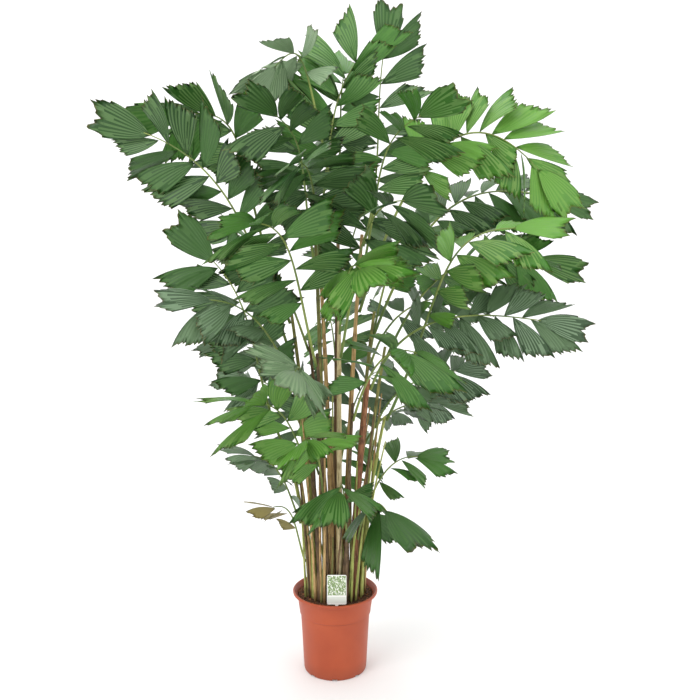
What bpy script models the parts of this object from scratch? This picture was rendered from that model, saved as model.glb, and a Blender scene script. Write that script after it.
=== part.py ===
"""Potted fishtail palm: a clump of slender stems in a nursery pot under a full crown of fronds.

Metres, +Z up. The origin is the centre of the pot's flat underside; -Y is the front of the plant.
"""
import math
import random
from collections import namedtuple

import bmesh
import bpy
from mathutils import Matrix, Vector
from mathutils.bvhtree import BVHTree

UP = Vector((0.0, 0.0, 1.0))

# Clearance between two solids that meet.
CLEAR = 0.0003
MERGE = 0.00001
FLAT_ANGLE = math.radians(1)

# Pot: a thin moulded shell with a step below its rim and drainage slots round its foot.
POT_HEIGHT = 0.245
POT_RIM_RADIUS = 0.130
POT_MOUTH_RADIUS = 0.123
POT_COLLAR_TOP_RADIUS = 0.1170
POT_COLLAR_FOOT_RADIUS = 0.1085
POT_BODY_TOP_RADIUS = 0.1060
POT_BASE_RADIUS = 0.0955
POT_BASE_ROUND = 0.004
POT_WALL = 0.0025
POT_FLOOR = 0.003
POT_STEP_HEIGHT = 0.176
POT_ROLL_HEIGHT = 0.009
POT_ROUND_STEPS = 36
SLOT_COUNT = 8
SLOT_WIDTH = 0.016
SLOT_HEIGHT = 0.005
SLOT_DEPTH = 0.024

# Soil: fills the pot to a little below the rim.
SOIL_TOP = 0.232

# Label: a stick-in card on a pointed foot.
LABEL_WIDTH = 0.058
LABEL_HEIGHT = 0.086
LABEL_THICKNESS = 0.001
LABEL_SPIKE_WIDTH = 0.012
LABEL_SPIKE_LENGTH = 0.005
LABEL_CORNER = 0.004
LABEL_PLACE = (0.006, -0.099)
LABEL_LEAN = math.radians(8)

# Stems: eight-sided tapering limbs that spread as they rise.
STEM_ROUNDNESS = 2
STEM_RINGS = 6
STEM_SPREAD_POWER = 1.7

# Fronds: a three-sided rib and thin blades.
RIB_FOOT_STEPS = 3
RIB_TIP_RADIUS = 0.0028
RIB_START_LEAN = math.radians(13)
TIP_HANDLE = 0.35
LAST_LEAFLET = 0.94
END_LEAFLET = 0.975
BLADE_THICKNESS = 0.0105
BLADE_GAP = 0.0009
BEARING_TRIES = (0, 7, -7, 14, -14, 21, -21, 28, -28, 35, -35, 42, -42)

# Tries for a blade that meets something: change of spread, droop and roll, and share of its length.
Try = namedtuple("Try", "spread droop roll size")
BLADE_TRIES = (
    Try(0, 0.0, 0, 1.0),
    Try(10, 0.15, 0, 1.0),
    Try(-10, 0.15, 0, 1.0),
    Try(0, 0.35, 0, 1.0),
    Try(0, -0.3, 0, 1.0),
    Try(0, 0.0, 30, 1.0),
    Try(0, 0.0, -30, 1.0),
    Try(16, 0.3, 40, 0.95),
    Try(-16, 0.3, -40, 0.95),
    Try(14, -0.35, -25, 0.9),
    Try(-14, -0.35, 25, 0.9),
    Try(22, 0.5, 20, 0.8),
    Try(-18, 0.55, -20, 0.8),
    Try(0, 0.7, 60, 0.75),
    Try(0, -0.5, -60, 0.75),
)

# Where each stem stands on the soil, where it ends, and its thickness at both ends.
Stem = namedtuple("Stem", "name foot_x foot_y top_x top_y top_z foot_width top_width colour")
YELLOW_GREEN = (0.36, 0.42, 0.14)
OLIVE = (0.20, 0.22, 0.09)
DARK_BROWN = (0.10, 0.06, 0.03)
RED_BROWN = (0.26, 0.11, 0.05)
TAN = (0.42, 0.25, 0.10)
CREAM = (0.55, 0.45, 0.26)
STEMS = (
    Stem("stem_left_outer", -0.078, -0.022, -0.146, -0.050, 0.72, 0.014, 0.009, YELLOW_GREEN),
    Stem("stem_left_front", -0.062, -0.041, -0.116, -0.082, 0.92, 0.015, 0.009, YELLOW_GREEN),
    Stem("stem_left_dark", -0.045, -0.057, -0.084, -0.118, 0.82, 0.018, 0.010, DARK_BROWN),
    Stem("stem_front_brown", -0.025, -0.063, -0.050, -0.134, 1.00, 0.016, 0.009, DARK_BROWN),
    Stem("stem_tan", -0.009, -0.044, -0.040, -0.084, 1.22, 0.018, 0.010, TAN),
    Stem("stem_cream", 0.013, -0.050, 0.014, -0.104, 1.12, 0.021, 0.011, CREAM),
    Stem("stem_right_front", 0.034, -0.062, 0.054, -0.138, 0.86, 0.015, 0.009, DARK_BROWN),
    Stem("stem_red", 0.056, -0.039, 0.100, -0.084, 0.92, 0.027, 0.014, RED_BROWN),
    Stem("stem_right_outer", 0.081, -0.018, 0.152, -0.045, 0.80, 0.014, 0.009, YELLOW_GREEN),
    Stem("stem_right", 0.078, 0.012, 0.154, 0.020, 1.00, 0.015, 0.009, OLIVE),
    Stem("stem_right_back", 0.055, 0.034, 0.122, 0.086, 1.10, 0.017, 0.010, OLIVE),
    Stem("stem_tall_right", 0.031, 0.000, 0.082, 0.006, 1.34, 0.019, 0.010, TAN),
    Stem("stem_tall_mid", 0.001, -0.010, 0.012, -0.014, 1.46, 0.020, 0.010, DARK_BROWN),
    Stem("stem_tall_left", -0.031, -0.012, -0.060, -0.018, 1.38, 0.018, 0.010, OLIVE),
    Stem("stem_left_back", -0.062, 0.020, -0.136, 0.050, 1.10, 0.017, 0.010, OLIVE),
    Stem("stem_back_left", -0.030, 0.042, -0.084, 0.130, 1.00, 0.016, 0.009, DARK_BROWN),
    Stem("stem_back", 0.010, 0.052, 0.010, 0.150, 1.12, 0.017, 0.009, TAN),
)

# Each frond: the stem it grows on, the height it leaves it at, where it points (0 is right, 90 is
# back), how far out its rib goes, the height of the rib's tip and the slope there, how strongly it
# first rises, the bare share of the rib, the number of leaflets, their length, the turn of their
# plane about the rib, how far they hang, and the tone.
Frond = namedtuple(
    "Frond", "name stem height bearing reach tip slope rise bare count leaf turn droop tone")
DEEP, MID, FRESH, PALE, GREY, DULL = "deep", "mid", "fresh", "pale", "grey", "dull"
FRONDS = (
    # Left side, from the top down.
    Frond("frond_left_crest", 14, 1.06, 178, 0.34, 1.70, -8, 0.75, 0.38, 13, 0.20, 50, 0.25, MID),
    Frond("frond_left_high", 14, 0.92, 188, 0.45, 1.64, 20, 0.45, 0.32, 18, 0.20, 60, 0.30, DEEP),
    Frond("frond_left_arch", 0, 0.69, 194, 0.22, 1.27, 45, 0.40, 0.28, 15, 0.19, 65, 0.30, DEEP),
    Frond("frond_left_mid", 1, 0.88, 206, 0.26, 1.16, 5, 0.45, 0.28, 13, 0.18, -40, 0.35, GREY),
    Frond("frond_left_fine", 15, 0.78, 172, 0.26, 1.00, 0, 0.40, 0.28, 13, 0.14, 40, 0.25, GREY),
    Frond("frond_left_broad", 2, 0.62, 208, 0.18, 0.86, 0, 0.45, 0.30, 10, 0.20, 30, 0.35, FRESH),
    Frond("frond_left_low", 0, 0.46, 184, 0.14, 0.67, 10, 0.40, 0.30, 9, 0.13, 30, 0.30, GREY),
    Frond("frond_left_dry", 0, 0.34, 200, 0.10, 0.52, -10, 0.50, 0.40, 6, 0.11, 30, 0.45, DULL),
    # Top.
    Frond("frond_top", 13, 1.34, 14, 0.16, 1.90, 45, 0.45, 0.22, 15, 0.20, 75, 0.15, MID),
    Frond("frond_top_left", 12, 1.42, 180, 0.19, 1.82, -50, 1.05, 0.40, 11, 0.17, 40, 0.50, PALE),
    Frond("frond_top_right", 11, 1.30, 25, 0.07, 1.90, 80, 0.40, 0.25, 13, 0.17, 75, 0.15, DEEP),
    Frond("frond_top_back", 12, 1.44, 85, 0.17, 1.84, 30, 0.60, 0.28, 13, 0.18, 45, 0.35, MID),
    Frond("frond_top_front", 13, 1.24, 232, 0.17, 1.68, 25, 0.60, 0.30, 12, 0.18, 40, 0.50, DEEP),
    Frond("frond_top_side", 11, 1.20, -40, 0.22, 1.68, 20, 0.60, 0.32, 12, 0.18, -40, 0.40, MID),
    Frond("frond_crown_front", 4, 1.18, 262, 0.32, 1.54, 5, 0.70, 0.28, 13, 0.19, 40, 0.50, DEEP),
    # Right side, from the top down.
    Frond("frond_right_crest", 11, 1.10, -4, 0.54, 1.52, -50, 1.00, 0.32, 20, 0.19, 70, 0.25, FRESH),
    Frond("frond_right_dark", 10, 1.02, 2, 0.58, 1.45, -10, 0.70, 0.34, 18, 0.18, 45, 0.35, DEEP),
    Frond("frond_right_bright", 8, 0.78, -20, 0.38, 1.36, 0, 0.60, 0.34, 14, 0.18, 45, 0.35, FRESH),
    Frond("frond_right_mid", 9, 0.95, 0, 0.45, 1.26, -10, 0.60, 0.34, 15, 0.18, -45, 0.30, MID),
    Frond("frond_right_long", 7, 0.88, -4, 0.50, 1.09, -8, 0.50, 0.32, 16, 0.17, 50, 0.25, GREY),
    Frond("frond_right_rear", 10, 0.92, 36, 0.38, 1.12, 0, 0.50, 0.32, 13, 0.16, 45, 0.30, GREY),
    Frond("frond_right_fine", 9, 0.74, 14, 0.28, 0.90, 5, 0.45, 0.34, 11, 0.14, 40, 0.20, GREY),
    Frond("frond_right_small", 10, 0.66, 18, 0.26, 0.80, -5, 0.45, 0.34, 11, 0.13, -40, 0.25, GREY),
    Frond("frond_right_low", 9, 0.48, 18, 0.18, 0.63, -15, 0.50, 0.32, 8, 0.14, 30, 0.30, MID),
    Frond("frond_right_hang", 7, 0.42, -50, 0.15, 0.55, -30, 0.60, 0.35, 6, 0.21, 10, 0.85, DEEP),
    # Front.
    Frond("frond_front_right", 6, 0.80, -70, 0.30, 1.04, -5, 0.50, 0.28, 11, 0.19, -40, 0.50, MID),
    Frond("frond_front_mid", 5, 1.05, -78, 0.28, 1.26, -10, 0.60, 0.26, 12, 0.18, 40, 0.50, FRESH),
    Frond("frond_front_left", 3, 0.96, 244, 0.28, 1.38, 0, 0.55, 0.28, 13, 0.19, 45, 0.45, MID),
    Frond("frond_front_pale", 2, 0.78, 266, 0.26, 0.99, -10, 0.50, 0.30, 10, 0.17, -35, 0.50, PALE),
    Frond("frond_front_low", 3, 0.56, 256, 0.20, 0.78, -10, 0.50, 0.30, 9, 0.17, 35, 0.50, FRESH),
    Frond("frond_front_hang", 6, 0.44, 262, 0.15, 0.62, -30, 0.55, 0.35, 7, 0.16, 20, 0.70, MID),
    Frond("frond_front_high", 5, 0.98, -58, 0.32, 1.44, 0, 0.60, 0.32, 12, 0.19, -45, 0.40, DEEP),
    # Back.
    Frond("frond_back_high", 12, 1.30, 96, 0.34, 1.66, 0, 0.60, 0.28, 14, 0.19, -45, 0.45, DEEP),
    Frond("frond_back_left", 15, 0.96, 128, 0.36, 1.32, 5, 0.50, 0.30, 13, 0.19, 45, 0.40, MID),
    Frond("frond_back_mid", 16, 1.08, 84, 0.32, 1.40, -5, 0.55, 0.28, 14, 0.19, 45, 0.45, DEEP),
    Frond("frond_back_right", 10, 0.98, 60, 0.38, 1.32, -8, 0.55, 0.30, 14, 0.19, -45, 0.40, MID),
    Frond("frond_back_low_left", 15, 0.58, 150, 0.28, 0.86, -5, 0.45, 0.30, 11, 0.16, -40, 0.40, GREY),
    Frond("frond_back_low", 16, 0.78, 98, 0.30, 1.04, -8, 0.50, 0.28, 12, 0.18, -45, 0.45, MID),
    Frond("frond_back_low_right", 16, 0.60, 62, 0.28, 0.86, -5, 0.45, 0.30, 11, 0.16, 45, 0.40, GREY),
    Frond("frond_back_foot", 15, 0.46, 104, 0.20, 0.64, -15, 0.50, 0.30, 8, 0.16, 35, 0.45, MID),
)

# Outlines of a leaflet of length 1, root at the origin, along +X: a wedge whose outer edge is cut off
# aslant into a long tail. The end leaflet is broader, with a notch between two tails.
FISHTAIL = ((0, 0), (0.65, -0.24), (0.86, -0.05), (1.0, 0.17), (0.52, 0.18))
FISHTAIL_MIRRORED = tuple((x, -y) for x, y in reversed(FISHTAIL))
FISHTAIL_END = ((0, 0), (0.55, -0.26), (0.92, -0.22), (0.78, 0.0), (1.0, 0.20), (0.58, 0.27))

TONES = {
    DEEP: (0.030, 0.110, 0.030),
    MID: (0.060, 0.180, 0.045),
    FRESH: (0.120, 0.300, 0.050),
    PALE: (0.250, 0.380, 0.230),
    GREY: (0.080, 0.160, 0.090),
    DULL: (0.190, 0.170, 0.070),
}


def clear_scene():
    """Remove whatever the scene holds."""
    for obj in list(bpy.data.objects):
        bpy.data.objects.remove(obj, do_unlink=True)


def material(name, colour, roughness):
    """Principled material with a base colour and a roughness."""
    made = bpy.data.materials.new(name)
    made.use_nodes = True
    shader = made.node_tree.nodes["Principled BSDF"]
    shader.inputs["Base Color"].default_value = (*colour, 1.0)
    shader.inputs["Roughness"].default_value = roughness
    shader.inputs["Metallic"].default_value = 0.0
    return made


def add_object(name, mesh, collection, finish=None):
    """Put a mesh into the scene as an object in a collection."""
    obj = bpy.data.objects.new(name, mesh)
    collection.objects.link(obj)
    if finish is not None:
        mesh.materials.clear()
        mesh.materials.append(finish)
    return obj


def weld(mesh):
    """Merge the loose caps of a converted curve with its sides."""
    shape = bmesh.new()
    shape.from_mesh(mesh)
    bmesh.ops.remove_doubles(shape, verts=shape.verts, dist=MERGE)
    bmesh.ops.recalc_face_normals(shape, faces=shape.faces)
    shape.to_mesh(mesh)
    shape.free()


def split_across(mesh):
    """Split a flat plate's faces across its width, so that no split runs down to its root."""
    shape = bmesh.new()
    shape.from_mesh(mesh)
    bmesh.ops.dissolve_limit(shape, angle_limit=FLAT_ANGLE, verts=shape.verts, edges=shape.edges)
    flats = [face for face in shape.faces if len(face.verts) > 4]
    bmesh.ops.triangulate(shape, faces=flats, ngon_method="BEAUTY")
    shape.to_mesh(mesh)
    shape.free()


def keep_outer_skin(mesh):
    """Keep the largest connected skin of a mesh, so that sealed hollows are filled and scrap goes."""
    shape = bmesh.new()
    shape.from_mesh(mesh)
    seen = set()
    skins = []
    for seed in shape.faces:
        if seed in seen:
            continue
        seen.add(seed)
        skin = [seed]
        for face in skin:
            beside = {other for edge in face.edges for other in edge.link_faces} - seen
            seen |= beside
            skin.extend(beside)
        skins.append(skin)
    skins.sort(key=len)
    for skin in skins[:-1]:
        bmesh.ops.delete(shape, geom=skin, context="FACES")
    shape.to_mesh(mesh)
    shape.free()


def curve_mesh(curve):
    """Closed mesh of a curve, which is then removed."""
    obj = bpy.data.objects.new(curve.name, curve)
    bpy.context.scene.collection.objects.link(obj)
    depsgraph = bpy.context.evaluated_depsgraph_get()
    mesh = bpy.data.meshes.new_from_object(obj.evaluated_get(depsgraph), depsgraph=depsgraph)
    bpy.data.objects.remove(obj)
    bpy.data.curves.remove(curve)
    weld(mesh)
    return mesh


def triangle_section():
    """Three-cornered section for ribs, flat on top, on a circle of radius 1."""
    curve = bpy.data.curves.new("rib_section", "CURVE")
    spline = curve.splines.new("POLY")
    spline.points.add(2)
    for point, angle in zip(spline.points, (270, 30, 150)):
        point.co = (math.cos(math.radians(angle)), math.sin(math.radians(angle)), 0, 1)
    spline.use_cyclic_u = True
    obj = bpy.data.objects.new("rib_section", curve)
    bpy.context.scene.collection.objects.link(obj)
    return obj


def limb_mesh(name, points, radii, section=None, resolution=0, tilts=None):
    """Closed tube along points with its own radius at each, round or with a given section."""
    curve = bpy.data.curves.new(name, "CURVE")
    curve.dimensions = "3D"
    curve.twist_mode = "Z_UP"
    curve.use_fill_caps = True
    if section is None:
        curve.bevel_depth = 1.0
        curve.bevel_resolution = resolution
    else:
        curve.bevel_mode = "OBJECT"
        curve.bevel_object = section
    spline = curve.splines.new("POLY")
    spline.points.add(len(points) - 1)
    for index, knot in enumerate(spline.points):
        knot.co = (*points[index], 1.0)
        knot.radius = radii[index]
        knot.tilt = tilts[index] if tilts else 0.0
    return curve_mesh(curve)


def outline_mesh(name, outline, thickness):
    """Closed flat plate of a flat outline, centred on its plane."""
    curve = bpy.data.curves.new(name, "CURVE")
    curve.dimensions = "2D"
    curve.fill_mode = "BOTH"
    curve.extrude = thickness / 2
    spline = curve.splines.new("POLY")
    spline.points.add(len(outline) - 1)
    for point, (x, y) in zip(spline.points, outline):
        point.co = (x, y, 0, 1)
    spline.use_cyclic_u = True
    mesh = curve_mesh(curve)
    split_across(mesh)
    return mesh


def turned_object(name, profile, steps, collection, finish):
    """Solid of revolution about Z from a profile of (radius, height) points."""
    mesh = bpy.data.meshes.new(name)
    edges = [(i, i + 1) for i in range(len(profile) - 1)]
    mesh.from_pydata([(radius, 0, height) for radius, height in profile], edges, [])
    obj = add_object(name, mesh, collection, finish)
    screw = obj.modifiers.new("turn", "SCREW")
    screw.steps = steps
    screw.render_steps = steps
    screw.use_merge_vertices = True
    screw.merge_threshold = MERGE
    screw.use_normal_calculate = False
    return obj


class Space:
    """Solids already placed, to test a new one against."""

    def __init__(self):
        self.entries = []

    def add(self, points, faces):
        """Keep a solid's box and tree, and return its place in the list."""
        self.entries.append((*box_of(points), BVHTree.FromPolygons(points, faces)))
        return len(self.entries) - 1

    def add_mesh(self, mesh):
        """Keep a mesh's box and tree."""
        self.add([v.co.copy() for v in mesh.vertices], [tuple(p.vertices) for p in mesh.polygons])

    def hit(self, points, faces, own=None):
        """Tell whether a solid meets one that is kept, apart from its own rib."""
        low, high = box_of(points)
        tree = None
        for index, (other_low, other_high, other) in enumerate(self.entries):
            if index == own or any(low[i] > other_high[i] or high[i] < other_low[i] for i in range(3)):
                continue
            tree = tree or BVHTree.FromPolygons(points, faces)
            if tree.overlap(other):
                return True
        return False


def box_of(points):
    """Lowest and highest corner of some points."""
    return [min(p[i] for p in points) for i in range(3)], [max(p[i] for p in points) for i in range(3)]


def build_pot(collection, cutters):
    """Nursery pot: tapered wall, step, collar, flared rim and drainage slots round the foot."""
    roll_foot = POT_HEIGHT - POT_ROLL_HEIGHT
    profile = (
        (0, POT_FLOOR),
        (POT_BASE_RADIUS - POT_WALL, POT_FLOOR),
        (POT_BODY_TOP_RADIUS - POT_WALL, POT_STEP_HEIGHT),
        (POT_COLLAR_TOP_RADIUS - POT_WALL, roll_foot - POT_WALL),
        (POT_MOUTH_RADIUS, POT_HEIGHT - 0.001),
        (POT_MOUTH_RADIUS + 0.0015, POT_HEIGHT),
        (POT_RIM_RADIUS - 0.0025, POT_HEIGHT),
        (POT_RIM_RADIUS, POT_HEIGHT - 0.0025),
        (POT_RIM_RADIUS, roll_foot),
        (POT_RIM_RADIUS - 0.002, roll_foot),
        (POT_COLLAR_TOP_RADIUS + 0.001, roll_foot + 0.001),
        (POT_COLLAR_TOP_RADIUS - 0.001, roll_foot - POT_WALL),
        (POT_COLLAR_FOOT_RADIUS, POT_STEP_HEIGHT + 0.0005),
        (POT_BODY_TOP_RADIUS, POT_STEP_HEIGHT - 0.0015),
        (POT_BASE_RADIUS, POT_BASE_ROUND),
        (POT_BASE_RADIUS - POT_BASE_ROUND / 2, 0),
        (0, 0),
    )
    finish = material("terracotta_plastic", (0.50, 0.13, 0.06), 0.45)
    pot = turned_object("pot", profile, POT_ROUND_STEPS, collection, finish)
    slots = bpy.data.collections.new("slots")
    cutters.children.link(slots)
    for index in range(SLOT_COUNT):
        angle = math.radians(-90 + 360 / SLOT_COUNT * index)
        middle = POT_BASE_RADIUS - SLOT_DEPTH / 2 + 0.005
        place = (middle * math.cos(angle), middle * math.sin(angle), 0)
        bpy.ops.mesh.primitive_cube_add(size=1, location=place, rotation=(0, 0, angle))
        slot = bpy.context.object
        slot.name = f"slot_{index}"
        slot.scale = (SLOT_DEPTH, SLOT_WIDTH, SLOT_HEIGHT * 2)
        slot.hide_render = True
        slot.display_type = "WIRE"
        for owner in list(slot.users_collection):
            owner.objects.unlink(slot)
        slots.objects.link(slot)
    cut = pot.modifiers.new("slots", "BOOLEAN")
    cut.operation = "DIFFERENCE"
    cut.operand_type = "COLLECTION"
    cut.collection = slots
    return pot


def build_soil(collection):
    """Potting soil up to a level surface below the rim."""
    collar_foot = POT_BODY_TOP_RADIUS - POT_WALL
    collar_top = POT_COLLAR_TOP_RADIUS - POT_WALL
    share = (SOIL_TOP - POT_STEP_HEIGHT) / (POT_HEIGHT - POT_ROLL_HEIGHT - POT_WALL - POT_STEP_HEIGHT)
    profile = (
        (0, SOIL_TOP),
        (collar_foot + (collar_top - collar_foot) * share - CLEAR, SOIL_TOP),
        (collar_foot - CLEAR, POT_STEP_HEIGHT),
        (POT_BASE_RADIUS - POT_WALL - CLEAR, POT_FLOOR + CLEAR),
        (0, POT_FLOOR + CLEAR),
    )
    finish = material("bark_soil", (0.07, 0.035, 0.02), 0.95)
    return turned_object("soil", profile, POT_ROUND_STEPS, collection, finish)


def build_label(collection):
    """Stick-in card standing in the soil at the front."""
    half = LABEL_WIDTH / 2
    foot = LABEL_SPIKE_LENGTH
    top = foot + LABEL_HEIGHT
    spike = LABEL_SPIKE_WIDTH / 2
    outline = (
        (-spike / 2, 0),
        (spike / 2, 0),
        (spike, foot),
        (half - LABEL_CORNER, foot),
        (half, foot + LABEL_CORNER),
        (half, top - LABEL_CORNER),
        (half - LABEL_CORNER, top),
        (LABEL_CORNER - half, top),
        (-half, top - LABEL_CORNER),
        (-half, foot + LABEL_CORNER),
        (LABEL_CORNER - half, foot),
        (-spike, foot),
    )
    mesh = outline_mesh("label", outline, LABEL_THICKNESS)
    stand = Matrix.Rotation(math.pi / 2 - LABEL_LEAN, 4, "X")
    lift = CLEAR + math.sin(LABEL_LEAN) * LABEL_THICKNESS
    mesh.transform(Matrix.Translation((*LABEL_PLACE, SOIL_TOP + lift)) @ stand)
    return add_object("label", mesh, collection, material("label_card", (0.85, 0.86, 0.82), 0.5))


def stem_point(stem, height):
    """Point of a stem's axis at a height."""
    share = (height - SOIL_TOP) / (stem.top_z - SOIL_TOP)
    lean = share ** STEM_SPREAD_POWER
    return Vector((
        stem.foot_x + (stem.top_x - stem.foot_x) * lean,
        stem.foot_y + (stem.top_y - stem.foot_y) * lean,
        height))


def build_stem(stem, collection, finish):
    """Tapering stem, cut flat on the soil."""
    foot = SOIL_TOP + CLEAR
    points = []
    radii = []
    for index in range(STEM_RINGS):
        share = index / (STEM_RINGS - 1)
        points.append(stem_point(stem, foot + (stem.top_z - foot) * share))
        radii.append((stem.foot_width + (stem.top_width - stem.foot_width) * share) / 2)
    mesh = limb_mesh(stem.name, points, radii, resolution=STEM_ROUNDNESS)
    for vertex in mesh.vertices:
        if vertex.co.z < foot + stem.foot_width / 2:
            vertex.co.z = foot
    return add_object(stem.name, mesh, collection, finish)


def bezier(start, first, second, end, share):
    """Point of a cubic curve."""
    rest = 1 - share
    return (start * rest ** 3 + first * (3 * rest ** 2 * share)
            + second * (3 * rest * share ** 2) + end * share ** 3)


def rib_radius(frond):
    """Thickness of a frond's rib at its foot, by its length."""
    return 0.0034 + 0.0026 * min(1.0, frond.reach + frond.tip - frond.height)


def leaflet_shares(frond):
    """Curve shares of a frond's side leaflets."""
    steps = frond.count - 2
    return [frond.bare + (LAST_LEAFLET - frond.bare) * index / steps for index in range(steps + 1)]


def rib_shares(frond):
    """Curve shares of a rib's rings: some on its bare foot, then one between each two leaflets."""
    places = leaflet_shares(frond)
    half = (places[1] - places[0]) / 2
    foot = [(places[0] - half) * index / RIB_FOOT_STEPS for index in range(RIB_FOOT_STEPS + 1)]
    return foot + [place + half for place in places[1:-2:2]] + [1.0]


def rib_curve(frond, bearing):
    """Outward direction and the four handles of a frond's rib: up along its stem, then out."""
    stem = STEMS[frond.stem]
    outward = Vector((math.cos(math.radians(bearing)), math.sin(math.radians(bearing)), 0))
    rise = (frond.height - SOIL_TOP) / (stem.top_z - SOIL_TOP)
    stem_radius = (stem.foot_width + (stem.top_width - stem.foot_width) * rise) / 2
    along = stem_point(stem, frond.height) - stem_point(stem, frond.height - 0.01)
    lean = math.atan2(along.dot(outward), along.z)
    offset = stem_radius / math.cos(lean) + CLEAR + rib_radius(frond) / 2
    start = stem_point(stem, frond.height) + outward * offset
    end = start + outward * frond.reach
    end.z = frond.tip
    chord = (end - start).length
    lean += RIB_START_LEAN
    first = start + (outward * math.sin(lean) + UP * math.cos(lean)) * chord * frond.rise
    slope = math.radians(frond.slope)
    second = end - (outward * math.cos(slope) + UP * math.sin(slope)) * chord * TIP_HANDLE
    return outward, (start, first, second, end)


class Axis:
    """A rib as a chain of points at its curve shares, with the level direction across it."""

    def __init__(self, frond, bearing):
        self.outward, handles = rib_curve(frond, bearing)
        self.across = self.outward.cross(UP)
        self.shares = rib_shares(frond)
        self.points = [bezier(*handles, share) for share in self.shares]
        foot = rib_radius(frond)
        self.radii = [foot + (RIB_TIP_RADIUS - foot) * share for share in self.shares]
        leafy = [0.0] * RIB_FOOT_STEPS + [1.0] * (len(self.shares) - RIB_FOOT_STEPS)
        self.tilts = [math.radians(frond.turn) * share for share in leafy]

    def at(self, share):
        """Point and direction at a curve share."""
        index = max(i for i, knot in enumerate(self.shares[:-1]) if knot <= share)
        before, after = self.points[index], self.points[index + 1]
        part = (share - self.shares[index]) / (self.shares[index + 1] - self.shares[index])
        return before.lerp(after, part), (after - before).normalized()


Leaf = namedtuple("Leaf", "share side spread droop roll length shape")


def leaf_plan(frond, seed):
    """Leaflets of a frond, alternately left and right, with every chance value drawn."""
    chance = random.Random(seed)
    plan = []
    places = leaflet_shares(frond)
    for index, share in enumerate(places):
        along = index / (len(places) - 1)
        side = 1 if (index + seed) % 2 else -1
        spread = 64 - 16 * along + chance.uniform(-9, 9)
        droop = frond.droop + chance.uniform(-0.25, 0.30)
        roll = chance.uniform(-38, 38)
        length = frond.leaf * (0.80 + 0.55 * along * (1.35 - along)) * chance.uniform(0.84, 1.12)
        shape = side if chance.random() < 0.8 else -side
        plan.append(Leaf(share, side, spread, droop, roll, length, shape))
    roll = chance.uniform(-15, 15)
    plan.append(Leaf(END_LEAFLET, 0, 0, frond.droop * 0.4, roll, frond.leaf * 1.05, 0))
    return plan


def leaf_matrix(axis, leaf, turn, change):
    """Place of a leaflet: root on the rib, blade along X, its upper face to +Z."""
    root, along = axis.at(leaf.share)
    level = axis.across
    upper = level.cross(along).normalized()
    turned = Matrix.Rotation(math.radians(turn), 3, along)
    level = turned @ level
    upper = turned @ upper
    spread = math.radians(leaf.spread + change.spread) * leaf.side
    way = along * math.cos(spread) + level * math.sin(spread)
    way = (way - UP * (leaf.droop + change.droop)).normalized()
    face = (upper - way * upper.dot(way)).normalized()
    face = Matrix.Rotation(math.radians(leaf.roll + change.roll), 3, way) @ face
    across = face.cross(way)
    size = leaf.length * change.size
    place = Matrix((way, across, face)).transposed().to_4x4()
    return Matrix.Translation(root) @ place @ Matrix.Scale(size, 4), size


def grown(points, amount):
    """Copy of a flat blade's unit points, thicker by an amount."""
    return [Vector((p.x, p.y, p.z + math.copysign(amount, p.z))) for p in points]


def join(name, rib, blades, collection, finish):
    """One solid from a rib and its blades."""
    parts = bpy.data.collections.new(name + "_parts")
    bpy.context.scene.collection.children.link(parts)
    for index, blade in enumerate(blades):
        add_object(f"{name}_part_{index}", blade, parts)
    obj = add_object(name, rib, collection, finish)
    union = obj.modifiers.new("join", "BOOLEAN")
    union.operation = "UNION"
    union.solver = "MANIFOLD"
    union.operand_type = "COLLECTION"
    union.collection = parts
    depsgraph = bpy.context.evaluated_depsgraph_get()
    joined = bpy.data.meshes.new_from_object(obj.evaluated_get(depsgraph), depsgraph=depsgraph)
    obj.modifiers.clear()
    keep_outer_skin(joined)
    obj.data = joined
    joined.materials.clear()
    joined.materials.append(finish)
    for part in list(parts.objects):
        bpy.data.objects.remove(part)
    bpy.data.collections.remove(parts)
    return obj


def build_rib(frond, space, section):
    """Rib of a frond on the first bearing that has room, and the wider rib kept clear round it."""
    for turn in BEARING_TRIES:
        axis = Axis(frond, frond.bearing + turn)
        wide = limb_mesh(
            frond.name, axis.points, [r + CLEAR / 2 for r in axis.radii], section, tilts=axis.tilts)
        points = [v.co.copy() for v in wide.vertices]
        faces = [tuple(p.vertices) for p in wide.polygons]
        if not space.hit(points, faces):
            rib = limb_mesh(frond.name, axis.points, axis.radii, section, tilts=axis.tilts)
            return axis, rib, points, faces
    raise RuntimeError("no room for " + frond.name)


def build_fronds(collection, space, section):
    """Every frond: all ribs first, then the leaflets that find room."""
    finishes = {tone: material("leaf_" + tone, colour, 0.5) for tone, colour in TONES.items()}
    shapes = {
        1: outline_mesh("fishtail", FISHTAIL, BLADE_THICKNESS),
        -1: outline_mesh("fishtail_mirrored", FISHTAIL_MIRRORED, BLADE_THICKNESS),
        0: outline_mesh("fishtail_end", FISHTAIL_END, BLADE_THICKNESS),
    }
    ribs = []
    for frond in FRONDS:
        axis, rib, points, faces = build_rib(frond, space, section)
        ribs.append((axis, rib, space.add(points, faces)))
    for seed, (frond, (axis, rib, own)) in enumerate(zip(FRONDS, ribs)):
        blades = []
        for leaf in leaf_plan(frond, seed):
            shape = shapes[leaf.shape]
            faces = [tuple(p.vertices) for p in shape.polygons]
            for change in BLADE_TRIES:
                matrix, size = leaf_matrix(axis, leaf, frond.turn, change)
                thicker = grown([v.co for v in shape.vertices], BLADE_GAP / 2 / size)
                points = [matrix @ p for p in thicker]
                if not space.hit(points, faces, own):
                    blade = shape.copy()
                    blade.transform(matrix)
                    blades.append(blade)
                    space.add(points, faces)
                    break
        join(frond.name, rib, blades, collection, finishes[frond.tone])


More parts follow.
